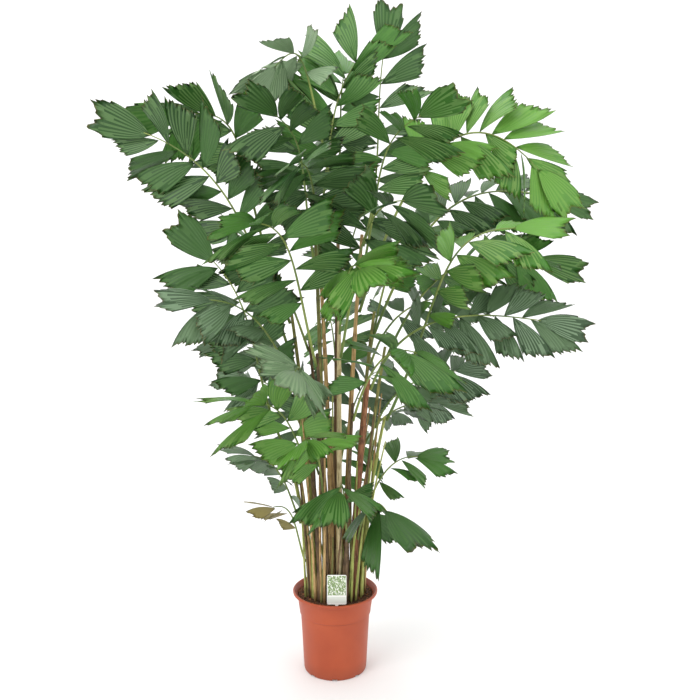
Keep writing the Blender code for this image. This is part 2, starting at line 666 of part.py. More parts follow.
def main():
    """Build the whole plant."""
    clear_scene()
    plant = bpy.data.collections.new("fishtail_palm")
    cutters = bpy.data.collections.new("cutters")
    bpy.context.scene.collection.children.link(plant)
    bpy.context.scene.collection.children.link(cutters)
    section = triangle_section()
    pot = build_pot(plant, cutters)
    soil = build_soil(plant)
    label = build_label(plant)
    space = Space()
    depsgraph = bpy.context.evaluated_depsgraph_get()
    for obj in (pot, soil, label):
        mesh = bpy.data.meshes.new_from_object(obj.evaluated_get(depsgraph), depsgraph=depsgraph)
        space.add_mesh(mesh)
    for stem in STEMS:
        finish = material("bark_" + stem.name, stem.colour, 0.7)
        space.add_mesh(build_stem(stem, plant, finish).data)
    build_fronds(plant, space, section)
    bpy.data.objects.remove(section)
    bpy.context.scene.collection.children.unlink(cutters)


main()
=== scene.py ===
"""Looks of the potted fishtail palm: fine leaflets, ribs, sheathed stems, pot, soil and label."""
from __future__ import annotations

import logging
import math
import random
from dataclasses import dataclass, field
from enum import Enum

import bmesh
import bpy
import numpy as np
from mathutils import Matrix, Vector
from mathutils.kdtree import KDTree


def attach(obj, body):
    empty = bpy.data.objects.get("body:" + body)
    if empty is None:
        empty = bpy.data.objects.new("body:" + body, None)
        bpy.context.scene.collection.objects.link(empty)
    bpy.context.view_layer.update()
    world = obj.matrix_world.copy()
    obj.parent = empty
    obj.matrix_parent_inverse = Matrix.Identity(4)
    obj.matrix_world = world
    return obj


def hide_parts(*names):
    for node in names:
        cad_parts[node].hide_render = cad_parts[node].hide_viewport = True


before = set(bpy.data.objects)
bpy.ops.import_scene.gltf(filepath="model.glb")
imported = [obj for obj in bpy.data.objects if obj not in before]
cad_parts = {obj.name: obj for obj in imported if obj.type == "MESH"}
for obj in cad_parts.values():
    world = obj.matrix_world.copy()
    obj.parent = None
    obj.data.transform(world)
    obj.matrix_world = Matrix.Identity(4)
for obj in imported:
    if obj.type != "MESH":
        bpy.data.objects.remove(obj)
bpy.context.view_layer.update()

BODY = "root"
UP = Vector((0.0, 0.0, 1.0))
LOG = logging.getLogger("palm")

# Pot, soil and label, in metres, as the solids have them.
POT_HEIGHT = 0.245
POT_STEP_HEIGHT = 0.176
POT_ROLL_HEIGHT = 0.009
SOIL_TOP = 0.232
CLEAR = 0.0003
MERGE = 0.00001

# Stems and ribs, as the solids have them.
STEM_SPREAD_POWER = 1.7
RIB_FOOT_STEPS = 3
RIB_TIP_RADIUS = 0.0028
RIB_FOOT_RADIUS = 0.0034
RIB_FOOT_GROWTH = 0.0026
RIB_START_LEAN = math.radians(13)
LEAN_STEP = 0.01
TIP_HANDLE = 0.35
LAST_LEAFLET = 0.94
END_LEAFLET = 0.975
BLADE_THICKNESS = 0.0105

# Draws of the leaflets, as the solids have them: angles in degrees, lengths in shares of the frond's.
SPREAD_FOOT = 64
SPREAD_FALL = 16
SPREAD_PLAY = 9
DROOP_PLAY = (-0.25, 0.30)
ROLL_PLAY = 38
LENGTH_FOOT = 0.80
LENGTH_SWELL = 0.55
LENGTH_PEAK = 1.35
LENGTH_PLAY = (0.84, 1.12)
OWN_SIDE_CHANCE = 0.8
END_ROLL_PLAY = 15
END_DROOP = 0.4
END_LENGTH = 1.05

# Changes of a frond's bearing, in the order in which the solids tried them.
BEARING_TRIES = (0, 7, -7, 14, -14, 21, -21, 28, -28, 35, -35, 42, -42)
# Changes of a leaflet's spread, droop and roll, and its share of length, in the order tried.
BLADE_TRIES = (
    (0, 0.0, 0, 1.0), (10, 0.15, 0, 1.0), (-10, 0.15, 0, 1.0), (0, 0.35, 0, 1.0), (0, -0.3, 0, 1.0),
    (0, 0.0, 30, 1.0), (0, 0.0, -30, 1.0), (16, 0.3, 40, 0.95), (-16, 0.3, -40, 0.95),
    (14, -0.35, -25, 0.9), (-14, -0.35, 25, 0.9), (22, 0.5, 20, 0.8), (-18, 0.55, -20, 0.8),
    (0, 0.7, 60, 0.75), (0, -0.5, -60, 0.75),
)
# A corner of the solids counts as found within this distance.
FOUND = 0.0004
# Upper tail corner of a leaflet of length 1, by shape: right side, left side, end.
TAIL_CORNERS = {1: (1.0, 0.17), -1: (1.0, -0.17), 0: (1.0, 0.20)}


class Tone(Enum):
    """Leaf colours: upper face, its lighter patches and the underside, as sRGB hex."""

    DEEP = ("1E4217", "355F22", "5B7A4A")
    MID = ("2A551C", "457A2A", "66884C")
    # Bright yellow-green: the young fronds' fresher green, lifted by painted backlight, the light shining
    # through the leaflets laid into their colour.
    FRESH = ("3A7020", "5F9632", "6F924A")
    # Pale grey-green: painted sheen, the glossy leaves' reflection of the white light laid into their colour.
    PALE = ("5E7D55", "8AA37F", "869E78")
    GREY = ("324C2E", "546F4A", "6E8768")
    DULL = ("5E5428", "80763E", "807850")


class Bark(Enum):
    """Stem colours: ground, light fibres and dark seams, as sRGB hex."""

    YELLOW_GREEN = ("8E9A4B", "B7BC6C", "5B5A2A")
    OLIVE = ("6A6B3A", "93904F", "3B3820")
    DARK_BROWN = ("54402A", "7F6647", "2A1F14")
    RED_BROWN = ("7A4B30", "A4714D", "3E2417")
    TAN = ("A07F4E", "C9A974", "5E4528")
    CREAM = ("C2AE80", "DDCEA4", "7A6540")


@dataclass(frozen=True)
class Stem:
    """A stem's foot on the soil, its top, its widths and its bark.

    Attributes:
        name: Its node.
        foot_x: Place of its foot to the right.
        foot_y: Place of its foot to the back.
        top_x: Place of its top to the right.
        top_y: Place of its top to the back.
        top_z: Height of its top.
        foot_width: Its width at the soil.
        top_width: Its width at the top.
        bark: Its colours.
    """

    name: str
    foot_x: float
    foot_y: float
    top_x: float
    top_y: float
    top_z: float
    foot_width: float
    top_width: float
    bark: Bark

    def point(self, height: float) -> Vector:
        """Point of the stem's axis.

        Args:
            height: Its height.

        Returns:
            The point.
        """
        share = (height - SOIL_TOP) / (self.top_z - SOIL_TOP)
        lean = max(share, 0.0) ** STEM_SPREAD_POWER
        return Vector((
            self.foot_x + (self.top_x - self.foot_x) * lean,
            self.foot_y + (self.top_y - self.foot_y) * lean,
            height))

    def radius(self, height: float) -> float:
        """Radius of the stem at a height."""
        share = (height - SOIL_TOP) / (self.top_z - SOIL_TOP)
        return (self.foot_width + (self.top_width - self.foot_width) * share) / 2


@dataclass(frozen=True)
class Frond:
    """A frond's place on its stem, the run of its rib, and its leaflets.

    Attributes:
        name: Its node.
        stem: Number of the stem that carries it.
        height: Height of its foot.
        bearing: Where it points, in degrees.
        reach: Level distance from its foot to its tip.
        tip: Height of its tip.
        slope: Slope of the rib at its tip, in degrees.
        rise: Pull of the rib upwards from its foot, as a share of its chord.
        bare: Share of the rib that carries no leaflet.
        count: Leaflets that it is planned with.
        leaf: Length of its leaflets.
        turn: Turn of the leaflets' plane about the rib, in degrees.
        droop: How far its leaflets hang.
        tone: Its colours.
    """

    name: str
    stem: int
    height: float
    bearing: float
    reach: float
    tip: float
    slope: float
    rise: float
    bare: float
    count: int
    leaf: float
    turn: float
    droop: float
    tone: Tone


STEMS = (
    Stem("stem_left_outer", -0.078, -0.022, -0.146, -0.050, 0.72, 0.014, 0.009, Bark.YELLOW_GREEN),
    Stem("stem_left_front", -0.062, -0.041, -0.116, -0.082, 0.92, 0.015, 0.009, Bark.YELLOW_GREEN),
    Stem("stem_left_dark", -0.045, -0.057, -0.084, -0.118, 0.82, 0.018, 0.010, Bark.DARK_BROWN),
    Stem("stem_front_brown", -0.025, -0.063, -0.050, -0.134, 1.00, 0.016, 0.009, Bark.DARK_BROWN),
    Stem("stem_tan", -0.009, -0.044, -0.040, -0.084, 1.22, 0.018, 0.010, Bark.TAN),
    Stem("stem_cream", 0.013, -0.050, 0.014, -0.104, 1.12, 0.021, 0.011, Bark.CREAM),
    Stem("stem_right_front", 0.034, -0.062, 0.054, -0.138, 0.86, 0.015, 0.009, Bark.DARK_BROWN),
    Stem("stem_red", 0.056, -0.039, 0.100, -0.084, 0.92, 0.027, 0.014, Bark.RED_BROWN),
    Stem("stem_right_outer", 0.081, -0.018, 0.152, -0.045, 0.80, 0.014, 0.009, Bark.YELLOW_GREEN),
    Stem("stem_right", 0.078, 0.012, 0.154, 0.020, 1.00, 0.015, 0.009, Bark.OLIVE),
    Stem("stem_right_back", 0.055, 0.034, 0.122, 0.086, 1.10, 0.017, 0.010, Bark.OLIVE),
    Stem("stem_tall_right", 0.031, 0.000, 0.082, 0.006, 1.34, 0.019, 0.010, Bark.TAN),
    Stem("stem_tall_mid", 0.001, -0.010, 0.012, -0.014, 1.46, 0.020, 0.010, Bark.DARK_BROWN),
    Stem("stem_tall_left", -0.031, -0.012, -0.060, -0.018, 1.38, 0.018, 0.010, Bark.OLIVE),
    Stem("stem_left_back", -0.062, 0.020, -0.136, 0.050, 1.10, 0.017, 0.010, Bark.OLIVE),
    Stem("stem_back_left", -0.030, 0.042, -0.084, 0.130, 1.00, 0.016, 0.009, Bark.DARK_BROWN),
    Stem("stem_back", 0.010, 0.052, 0.010, 0.150, 1.12, 0.017, 0.009, Bark.TAN),
)

FRONDS = (
    Frond("frond_left_crest", 14, 1.06, 178, 0.34, 1.70, -8, 0.75, 0.38, 13, 0.20, 50, 0.25, Tone.MID),
    Frond("frond_left_high", 14, 0.92, 188, 0.45, 1.64, 20, 0.45, 0.32, 18, 0.20, 60, 0.30, Tone.DEEP),
    Frond("frond_left_arch", 0, 0.69, 194, 0.22, 1.27, 45, 0.40, 0.28, 15, 0.19, 65, 0.30, Tone.DEEP),
    Frond("frond_left_mid", 1, 0.88, 206, 0.26, 1.16, 5, 0.45, 0.28, 13, 0.18, -40, 0.35, Tone.GREY),
    Frond("frond_left_fine", 15, 0.78, 172, 0.26, 1.00, 0, 0.40, 0.28, 13, 0.14, 40, 0.25, Tone.GREY),
    Frond("frond_left_broad", 2, 0.62, 208, 0.18, 0.86, 0, 0.45, 0.30, 10, 0.20, 30, 0.35, Tone.FRESH),
    Frond("frond_left_low", 0, 0.46, 184, 0.14, 0.67, 10, 0.40, 0.30, 9, 0.13, 30, 0.30, Tone.GREY),
    Frond("frond_left_dry", 0, 0.34, 200, 0.10, 0.52, -10, 0.50, 0.40, 6, 0.11, 30, 0.45, Tone.DULL),
    Frond("frond_top", 13, 1.34, 14, 0.16, 1.90, 45, 0.45, 0.22, 15, 0.20, 75, 0.15, Tone.MID),
    Frond("frond_top_left", 12, 1.42, 180, 0.19, 1.82, -50, 1.05, 0.40, 11, 0.17, 40, 0.50, Tone.PALE),
    Frond("frond_top_right", 11, 1.30, 25, 0.07, 1.90, 80, 0.40, 0.25, 13, 0.17, 75, 0.15, Tone.DEEP),
    Frond("frond_top_back", 12, 1.44, 85, 0.17, 1.84, 30, 0.60, 0.28, 13, 0.18, 45, 0.35, Tone.MID),
    Frond("frond_top_front", 13, 1.24, 232, 0.17, 1.68, 25, 0.60, 0.30, 12, 0.18, 40, 0.50, Tone.DEEP),
    Frond("frond_top_side", 11, 1.20, -40, 0.22, 1.68, 20, 0.60, 0.32, 12, 0.18, -40, 0.40, Tone.MID),
    Frond("frond_crown_front", 4, 1.18, 262, 0.32, 1.54, 5, 0.70, 0.28, 13, 0.19, 40, 0.50, Tone.DEEP),
    Frond("frond_right_crest", 11, 1.10, -4, 0.54, 1.52, -50, 1.00, 0.32, 20, 0.19, 70, 0.25, Tone.FRESH),
    Frond("frond_right_dark", 10, 1.02, 2, 0.58, 1.45, -10, 0.70, 0.34, 18, 0.18, 45, 0.35, Tone.DEEP),
    Frond("frond_right_bright", 8, 0.78, -20, 0.38, 1.36, 0, 0.60, 0.34, 14, 0.18, 45, 0.35, Tone.FRESH),
    Frond("frond_right_mid", 9, 0.95, 0, 0.45, 1.26, -10, 0.60, 0.34, 15, 0.18, -45, 0.30, Tone.MID),
    Frond("frond_right_long", 7, 0.88, -4, 0.50, 1.09, -8, 0.50, 0.32, 16, 0.17, 50, 0.25, Tone.GREY),
    Frond("frond_right_rear", 10, 0.92, 36, 0.38, 1.12, 0, 0.50, 0.32, 13, 0.16, 45, 0.30, Tone.GREY),
    Frond("frond_right_fine", 9, 0.74, 14, 0.28, 0.90, 5, 0.45, 0.34, 11, 0.14, 40, 0.20, Tone.GREY),
    Frond("frond_right_small", 10, 0.66, 18, 0.26, 0.80, -5, 0.45, 0.34, 11, 0.13, -40, 0.25, Tone.GREY),
    Frond("frond_right_low", 9, 0.48, 18, 0.18, 0.63, -15, 0.50, 0.32, 8, 0.14, 30, 0.30, Tone.MID),
    Frond("frond_right_hang", 7, 0.42, -50, 0.15, 0.55, -30, 0.60, 0.35, 6, 0.21, 10, 0.85, Tone.DEEP),
    Frond("frond_front_right", 6, 0.80, -70, 0.30, 1.04, -5, 0.50, 0.28, 11, 0.19, -40, 0.50, Tone.MID),
    Frond("frond_front_mid", 5, 1.05, -78, 0.28, 1.26, -10, 0.60, 0.26, 12, 0.18, 40, 0.50, Tone.FRESH),
    Frond("frond_front_left", 3, 0.96, 244, 0.28, 1.38, 0, 0.55, 0.28, 13, 0.19, 45, 0.45, Tone.MID),
    Frond("frond_front_pale", 2, 0.78, 266, 0.26, 0.99, -10, 0.50, 0.30, 10, 0.17, -35, 0.50, Tone.PALE),
    Frond("frond_front_low", 3, 0.56, 256, 0.20, 0.78, -10, 0.50, 0.30, 9, 0.17, 35, 0.50, Tone.FRESH),
    Frond("frond_front_hang", 6, 0.44, 262, 0.15, 0.62, -30, 0.55, 0.35, 7, 0.16, 20, 0.70, Tone.MID),
    Frond("frond_front_high", 5, 0.98, -58, 0.32, 1.44, 0, 0.60, 0.32, 12, 0.19, -45, 0.40, Tone.DEEP),
    Frond("frond_back_high", 12, 1.30, 96, 0.34, 1.66, 0, 0.60, 0.28, 14, 0.19, -45, 0.45, Tone.DEEP),
    Frond("frond_back_left", 15, 0.96, 128, 0.36, 1.32, 5, 0.50, 0.30, 13, 0.19, 45, 0.40, Tone.MID),
    Frond("frond_back_mid", 16, 1.08, 84, 0.32, 1.40, -5, 0.55, 0.28, 14, 0.19, 45, 0.45, Tone.DEEP),
    Frond("frond_back_right", 10, 0.98, 60, 0.38, 1.32, -8, 0.55, 0.30, 14, 0.19, -45, 0.40, Tone.MID),
    Frond("frond_back_low_left", 15, 0.58, 150, 0.28, 0.86, -5, 0.45, 0.30, 11, 0.16, -40, 0.40, Tone.GREY),
    Frond("frond_back_low", 16, 0.78, 98, 0.30, 1.04, -8, 0.50, 0.28, 12, 0.18, -45, 0.45, Tone.MID),
    Frond("frond_back_low_right", 16, 0.60, 62, 0.28, 0.86, -5, 0.45, 0.30, 11, 0.16, 45, 0.40, Tone.GREY),
    Frond("frond_back_foot", 15, 0.46, 104, 0.20, 0.64, -15, 0.50, 0.30, 8, 0.16, 35, 0.45, Tone.MID),
)


def linear(code: str) -> tuple[float, float, float, float]:
    """Turn an sRGB hex colour to linear values.

    Args:
        code: Six hex digits.

    Returns:
        Red, green, blue and a full alpha.
    """
    parts = [int(code[i:i + 2], 16) / 255 for i in (0, 2, 4)]
    return (*(p / 12.92 if p <= 0.04045 else ((p + 0.055) / 1.055) ** 2.4 for p in parts), 1.0)


def feed(tree: bpy.types.NodeTree, node: bpy.types.Node, inputs: dict) -> None:
    """Set a node's inputs.

    Args:
        tree: The node's tree.
        node: The node.
        inputs: Socket name or index to a value or to the socket that feeds it.
    """
    for key, value in inputs.items():
        if isinstance(value, bpy.types.NodeSocket):
            tree.links.new(value, node.inputs[key])
        else:
            node.inputs[key].default_value = value


def add_node(tree: bpy.types.NodeTree, kind: str, inputs: dict | None = None, **settings) -> bpy.types.Node:
    """Add a node with its settings, values and links.

    Args:
        tree: The tree that gets the node.
        kind: The node's type.
        inputs: Socket name or index to a value or to the socket that feeds it.
        **settings: Properties of the node.

    Returns:
        The new node.
    """
    node = tree.nodes.new(kind)
    for name, value in settings.items():
        setattr(node, name, value)
    feed(tree, node, inputs or {})
    return node


def tint(tree: bpy.types.NodeTree, pattern: bpy.types.NodeSocket, span: tuple[float, float],
         ground: object, colour: object) -> bpy.types.NodeSocket:
    """Lay a colour over a ground where a pattern rises through a span.

    Args:
        tree: The material's tree.
        pattern: The pattern.
        span: Values of the pattern at which the colour starts and is full.
        ground: Colour beneath, or the socket that gives it.
        colour: Colour on top, or the socket that gives it.

    Returns:
        The socket of the mixed colour.
    """
    share = add_node(tree, "ShaderNodeMapRange", {"Value": pattern, "From Min": span[0], "From Max": span[1]})
    mixed = add_node(tree, "ShaderNodeMix", {0: share.outputs[0], 6: ground, 7: colour}, data_type="RGBA")
    return mixed.outputs[2]


def start_material(name: str) -> tuple[bpy.types.Material, bpy.types.NodeTree, bpy.types.Node]:
    """Make a node material.

    Args:
        name: The material's name.

    Returns:
        The material, its tree and its shader.
    """
    made = bpy.data.materials.new(name)
    made.use_nodes = True
    return made, made.node_tree, made.node_tree.nodes["Principled BSDF"]


def put(name: str, data: bpy.types.ID) -> bpy.types.Object:
    """Put a mesh, curve, lamp or camera into the scene.

    Args:
        name: The object's name.
        data: What it shows.

    Returns:
        The object.
    """
    obj = bpy.data.objects.new(name, data)
    bpy.context.scene.collection.objects.link(obj)
    return obj


def as_object(name: str, mesh: bpy.types.Mesh, materials: list[bpy.types.Material],
              smooth: bool = True) -> bpy.types.Object:
    """Put a mesh into the scene with its materials.

    Args:
        name: The object's name.
        mesh: The mesh.
        materials: The materials that it gets.
        smooth: Whether its faces are shaded smooth.

    Returns:
        The object.
    """
    for made in materials:
        mesh.materials.append(made)
    mesh.polygons.foreach_set("use_smooth", [smooth] * len(mesh.polygons))
    return put(name, mesh)


def mesh_of(name: str, shape: bmesh.types.BMesh) -> bpy.types.Mesh:
    """Turn an edited shape to a mesh.

    Args:
        name: The mesh's name.
        shape: The shape, which is freed.

    Returns:
        The mesh.
    """
    mesh = bpy.data.meshes.new(name)
    shape.to_mesh(mesh)
    shape.free()
    return mesh


def circle(radius: float, height: float, count: int) -> list[tuple[float, float, float]]:
    """Points of a level circle round the plant's axis."""
    return [(radius * math.cos(math.tau * i / count), radius * math.sin(math.tau * i / count), height)
            for i in range(count)]


def dress(piece: bpy.types.Object, nodes: list[str]) -> None:
    """Hang a finished piece on the plant.

    Args:
        piece: The piece.
        nodes: The solids that it stands for.
    """
    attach(piece, BODY)
    if nodes:
        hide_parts(*nodes)
    LOG.info("%s: %d faces", piece.name, len(piece.data.polygons))


@dataclass(frozen=True)
class LeafBlade:
    """Leathery palm leaflet: waxy upper face and dull underside, with fine fanned veins.

    Attributes:
        tone: Its colours.
        veins: Veins from one side of the leaflet to the other.
        vein_depth: Relief of the veins, in metres.
        vein_tint: Share of the light colour on a vein.
        patches: Colour patches in a metre, about 70 mm each.
    """

    tone: Tone
    veins: float = 34.0
    vein_depth: float = 0.0006
    vein_tint: float = 0.2
    patches: float = 14.0

    def material(self, under: bool) -> bpy.types.Material:
        """Make the upper or the under face's material.

        Args:
            under: Whether it is the paler, duller underside.

        Returns:
            The material.
        """
        made, tree, shader = start_material(
            f"palm_leaf_{self.tone.name.lower()}_{'underside' if under else 'upper'}")
        upper, light, back = (linear(code) for code in self.tone.value)
        ground, span, roughness = (back, (0.5, 1.6), 0.62) if under else (upper, (0.55, 1.55), 0.36)
        space = add_node(tree, "ShaderNodeTexCoord")
        uv = add_node(tree, "ShaderNodeSeparateXYZ", {0: space.outputs["UV"]})
        shade = add_node(tree, "ShaderNodeAttribute", attribute_name="shade")
        cloud = add_node(tree, "ShaderNodeTexNoise", {
            "Vector": space.outputs["Object"], "Scale": self.patches, "Detail": 3.0, "Roughness": 0.6})
        patch = add_node(tree, "ShaderNodeMath", {0: cloud.outputs["Fac"], 1: shade.outputs["Fac"]},
                         operation="ADD")
        base = tint(tree, patch.outputs[0], span, ground, light)
        # Fanned veins: fine lines that run from the root to the toothed edge.
        across = add_node(tree, "ShaderNodeMath", {0: uv.outputs[0], 1: self.veins * 2 * math.pi},
                          operation="MULTIPLY")
        wave = add_node(tree, "ShaderNodeMath", {0: across.outputs[0]}, operation="SINE")
        vein = add_node(tree, "ShaderNodeMapRange", {
            "Value": wave.outputs[0], "From Min": 0.45, "From Max": 1.0, "To Max": self.vein_tint})
        veined = add_node(tree, "ShaderNodeMix", {0: vein.outputs[0], 6: base, 7: light}, data_type="RGBA")
        # The outermost teeth are dry and brown.
        tipped = tint(tree, uv.outputs[1], (0.965, 1.02), veined.outputs[2], linear("7A6A35"))
        relief = add_node(tree, "ShaderNodeBump", {
            "Height": wave.outputs[0], "Strength": 0.22, "Distance": self.vein_depth})
        feed(tree, shader, {
            "Base Color": tipped, "Roughness": roughness, "IOR": 1.45, "Normal": relief.outputs[0]})
        return made


@dataclass(frozen=True)
class RibSkin:
    """Green palm rib: smooth waxy stalk with faint brown scurf.

    Attributes:
        patches: Colour patches in a metre, about 110 mm each.
        scurf: Flecks of scurf in a metre, about 4 mm each.
        scurf_depth: Relief of the scurf, in metres.
    """

    patches: float = 9.0
    scurf: float = 260.0
    scurf_depth: float = 0.0004

    def material(self) -> bpy.types.Material:
        """Make the rib's material.

        Returns:
            The material.
        """
        made, tree, shader = start_material("palm_rib_green")
        space = add_node(tree, "ShaderNodeTexCoord")
        cloud = add_node(tree, "ShaderNodeTexNoise", {
            "Vector": space.outputs["Object"], "Scale": self.patches, "Detail": 2.0})
        speck = add_node(tree, "ShaderNodeTexNoise", {
            "Vector": space.outputs["Object"], "Scale": self.scurf, "Detail": 2.0})
        base = tint(tree, cloud.outputs["Fac"], (0.35, 0.65), linear("55702F"), linear("8B9A4C"))
        scurfy = tint(tree, speck.outputs["Fac"], (0.60, 0.75), base, linear("6B5A34"))
        relief = add_node(tree, "ShaderNodeBump", {
            "Height": speck.outputs["Fac"], "Strength": 0.4, "Distance": self.scurf_depth})
        feed(tree, shader, {"Base Color": scurfy, "Roughness": 0.48, "Normal": relief.outputs[0]})
        return made


@dataclass(frozen=True)
class StemBark:
    """Dry palm sheath: papery, with lengthwise fibres and dark seams at each sheath's edge.

    Attributes:
        bark: Its colours.
        fibre_mm: Gap between fibres, coarser than real ones so that they show.
        fibre_runs: Changes along a metre of fibre.
        fibre_depth: Relief of the fibres, in metres.
        patches: Dark patches in a metre, about 45 mm each.
    """

    bark: Bark
    fibre_mm: float = 2.6
    fibre_runs: float = 9.0
    fibre_depth: float = 0.0012
    patches: float = 22.0

    def material(self) -> bpy.types.Material:
        """Make the stem's material.

        Returns:
            The material.
        """
        made, tree, shader = start_material(f"palm_sheath_{self.bark.name.lower()}")
        ground, light, seam = (linear(code) for code in self.bark.value)
        space = add_node(tree, "ShaderNodeTexCoord")
        # Fibres: noise drawn out along the stem.
        stretch = add_node(tree, "ShaderNodeMapping", {
            "Vector": space.outputs["Object"],
            "Scale": (1000 / self.fibre_mm, 1000 / self.fibre_mm, self.fibre_runs)})
        fibre = add_node(tree, "ShaderNodeTexNoise", {
            "Vector": stretch.outputs[0], "Scale": 1.0, "Detail": 4.0, "Roughness": 0.65})
        patch = add_node(tree, "ShaderNodeTexNoise", {
            "Vector": space.outputs["Object"], "Scale": self.patches, "Detail": 3.0})
        sheath = add_node(tree, "ShaderNodeAttribute", attribute_name="sheath")
        base = tint(tree, fibre.outputs["Fac"], (0.44, 0.60), ground, light)
        split = tint(tree, fibre.outputs["Fac"], (0.43, 0.34), base, seam)
        blotched = tint(tree, patch.outputs["Fac"], (0.55, 0.78), split, seam)
        edged = tint(tree, sheath.outputs["Fac"], (0.86, 1.20), blotched, seam)
        relief = add_node(tree, "ShaderNodeBump", {
            "Height": fibre.outputs["Fac"], "Strength": 0.7, "Distance": self.fibre_depth})
        feed(tree, shader, {"Base Color": edged, "Roughness": 0.78, "Normal": relief.outputs[0]})
        return made


@dataclass(frozen=True)
class PotPlastic:
    """Moulded terracotta polypropylene: satin, with faint flow clouds and dust near the foot.

    Attributes:
        clouds: Flow clouds in a metre, about 90 mm each.
        grain: Grains of the mould's texture in a metre, about 1 mm each.
        grain_depth: Relief of the grain, in metres.
        dust_height: How far up the foot's dust reaches.
        groove: Half the height of the band of painted shade, with a little dust, in the groove under the
            collar.
    """

    clouds: float = 11.0
    grain: float = 900.0
    grain_depth: float = 0.0003
    dust_height: float = 0.045
    groove: float = 0.0012

    def material(self) -> bpy.types.Material:
        """Make the pot's material.

        Returns:
            The material.
        """
        made, tree, shader = start_material("moulded_polypropylene_terracotta")
        space = add_node(tree, "ShaderNodeTexCoord")
        place = add_node(tree, "ShaderNodeSeparateXYZ", {0: space.outputs["Object"]})
        cloud = add_node(tree, "ShaderNodeTexNoise", {
            "Vector": space.outputs["Object"], "Scale": self.clouds, "Detail": 3.0})
        grain = add_node(tree, "ShaderNodeTexNoise", {
            "Vector": space.outputs["Object"], "Scale": self.grain, "Detail": 2.0})
        base = tint(tree, cloud.outputs["Fac"], (0.3, 0.7), linear("A2421F"), linear("AE4C27"))
        dusty = tint(tree, place.outputs[2], (self.dust_height, 0.0), base, linear("9A4526"))
        # Painted shade, with a little dust, darkens the groove under the collar.
        groove = add_node(tree, "ShaderNodeMath", {0: place.outputs[2], 1: POT_STEP_HEIGHT, 2: self.groove},
                          operation="COMPARE")
        shaded = add_node(tree, "ShaderNodeMath", {0: groove.outputs[0], 1: 0.7}, operation="MULTIPLY")
        groove_shade_painted = tint(tree, shaded.outputs[0], (0.0, 1.0), dusty, linear("5C2412"))
        satin = add_node(tree, "ShaderNodeMapRange", {
            "Value": cloud.outputs["Fac"], "To Min": 0.36, "To Max": 0.52})
        relief = add_node(tree, "ShaderNodeBump", {
            "Height": grain.outputs["Fac"], "Strength": 0.25, "Distance": self.grain_depth})
        feed(tree, shader, {
            "Base Color": groove_shade_painted, "Roughness": satin.outputs[0], "IOR": 1.49, "Normal": relief.outputs[0]})
        return made


@dataclass(frozen=True)
class BarkSoil:
    """Moist bark and coir: dark brown crumbs with reddish and pale bits.

    Attributes:
        bits: Bits of bark in a metre, about 5 mm each.
        grit: Grains in a metre, about 2 mm each.
        grit_depth: Relief of the grains, in metres.
    """

    bits: float = 180.0
    grit: float = 420.0
    grit_depth: float = 0.002

    def material(self, name: str) -> bpy.types.Material:
        """Make the soil's material.

        Args:
            name: The material's name.

        Returns:
            The material.
        """
        made, tree, shader = start_material(name)
        space = add_node(tree, "ShaderNodeTexCoord")
        bits = add_node(tree, "ShaderNodeTexVoronoi", {
            "Vector": space.outputs["Object"], "Scale": self.bits})
        lot = add_node(tree, "ShaderNodeSeparateColor", {0: bits.outputs["Color"]})
        grit = add_node(tree, "ShaderNodeTexNoise", {
            "Vector": space.outputs["Object"], "Scale": self.grit, "Detail": 3.0})
        base = tint(tree, lot.outputs[0], (0.0, 1.0), linear("3A2418"), linear("6E4A31"))
        reddish = tint(tree, lot.outputs[1], (0.75, 0.95), base, linear("96603B"))
        relief = add_node(tree, "ShaderNodeBump", {
            "Height": grit.outputs["Fac"], "Strength": 0.8, "Distance": self.grit_depth})
        feed(tree, shader, {"Base Color": reddish, "Roughness": 0.92, "Normal": relief.outputs[0]})
        return made


@dataclass(frozen=True)
class LabelCard:
    """Printed plastic card: white edge, a speckled leafy field and a pale green band.

    Attributes:
        speckle: Speckles across the card.
        patches: Patches of colour across the card.
        inner: Middle and half width of the printed part, in shares of the card.
        field: Middle and half height of the leafy field.
        foot: Middle and half height of the band.
    """

    speckle: float = 13.0
    patches: float = 24.0
    inner: tuple[float, float] = (0.5, 0.47)
    field: tuple[float, float] = (0.64, 0.33)
    foot: tuple[float, float] = (0.16, 0.10)

    def material(self) -> bpy.types.Material:
        """Make the label's material, which reads the card's own UV map.

        Returns:
            The material.
        """
        made, tree, shader = start_material("printed_plastic_card")
        space = add_node(tree, "ShaderNodeTexCoord")
        uv = add_node(tree, "ShaderNodeSeparateXYZ", {0: space.outputs["UV"]})
        leafy = add_node(tree, "ShaderNodeTexNoise", {
            "Vector": space.outputs["UV"], "Scale": self.speckle, "Detail": 2.0, "Distortion": 1.2})
        patch = add_node(tree, "ShaderNodeTexNoise", {"Vector": space.outputs["UV"], "Scale": self.patches})
        leaf = tint(tree, patch.outputs["Fac"], (0.35, 0.65), linear("3C5A28"), linear("9DB873"))
        picture = tint(tree, leafy.outputs["Fac"], (0.50, 0.58), leaf, linear("EDF0E6"))
        inside = add_node(tree, "ShaderNodeMath", {0: uv.outputs[0], 1: self.inner[0], 2: self.inner[1]},
                          operation="COMPARE")
        printed = linear("F2F3EE")
        for (middle, half), colour in ((self.field, picture), (self.foot, linear("DDE3DA"))):
            level = add_node(tree, "ShaderNodeMath", {0: uv.outputs[1], 1: middle, 2: half},
                             operation="COMPARE")
            mask = add_node(tree, "ShaderNodeMath", {0: inside.outputs[0], 1: level.outputs[0]},
                            operation="MULTIPLY")
            printed = tint(tree, mask.outputs[0], (0.0, 1.0), printed, colour)
        feed(tree, shader, {"Base Color": printed, "Roughness": 0.38})
        return made


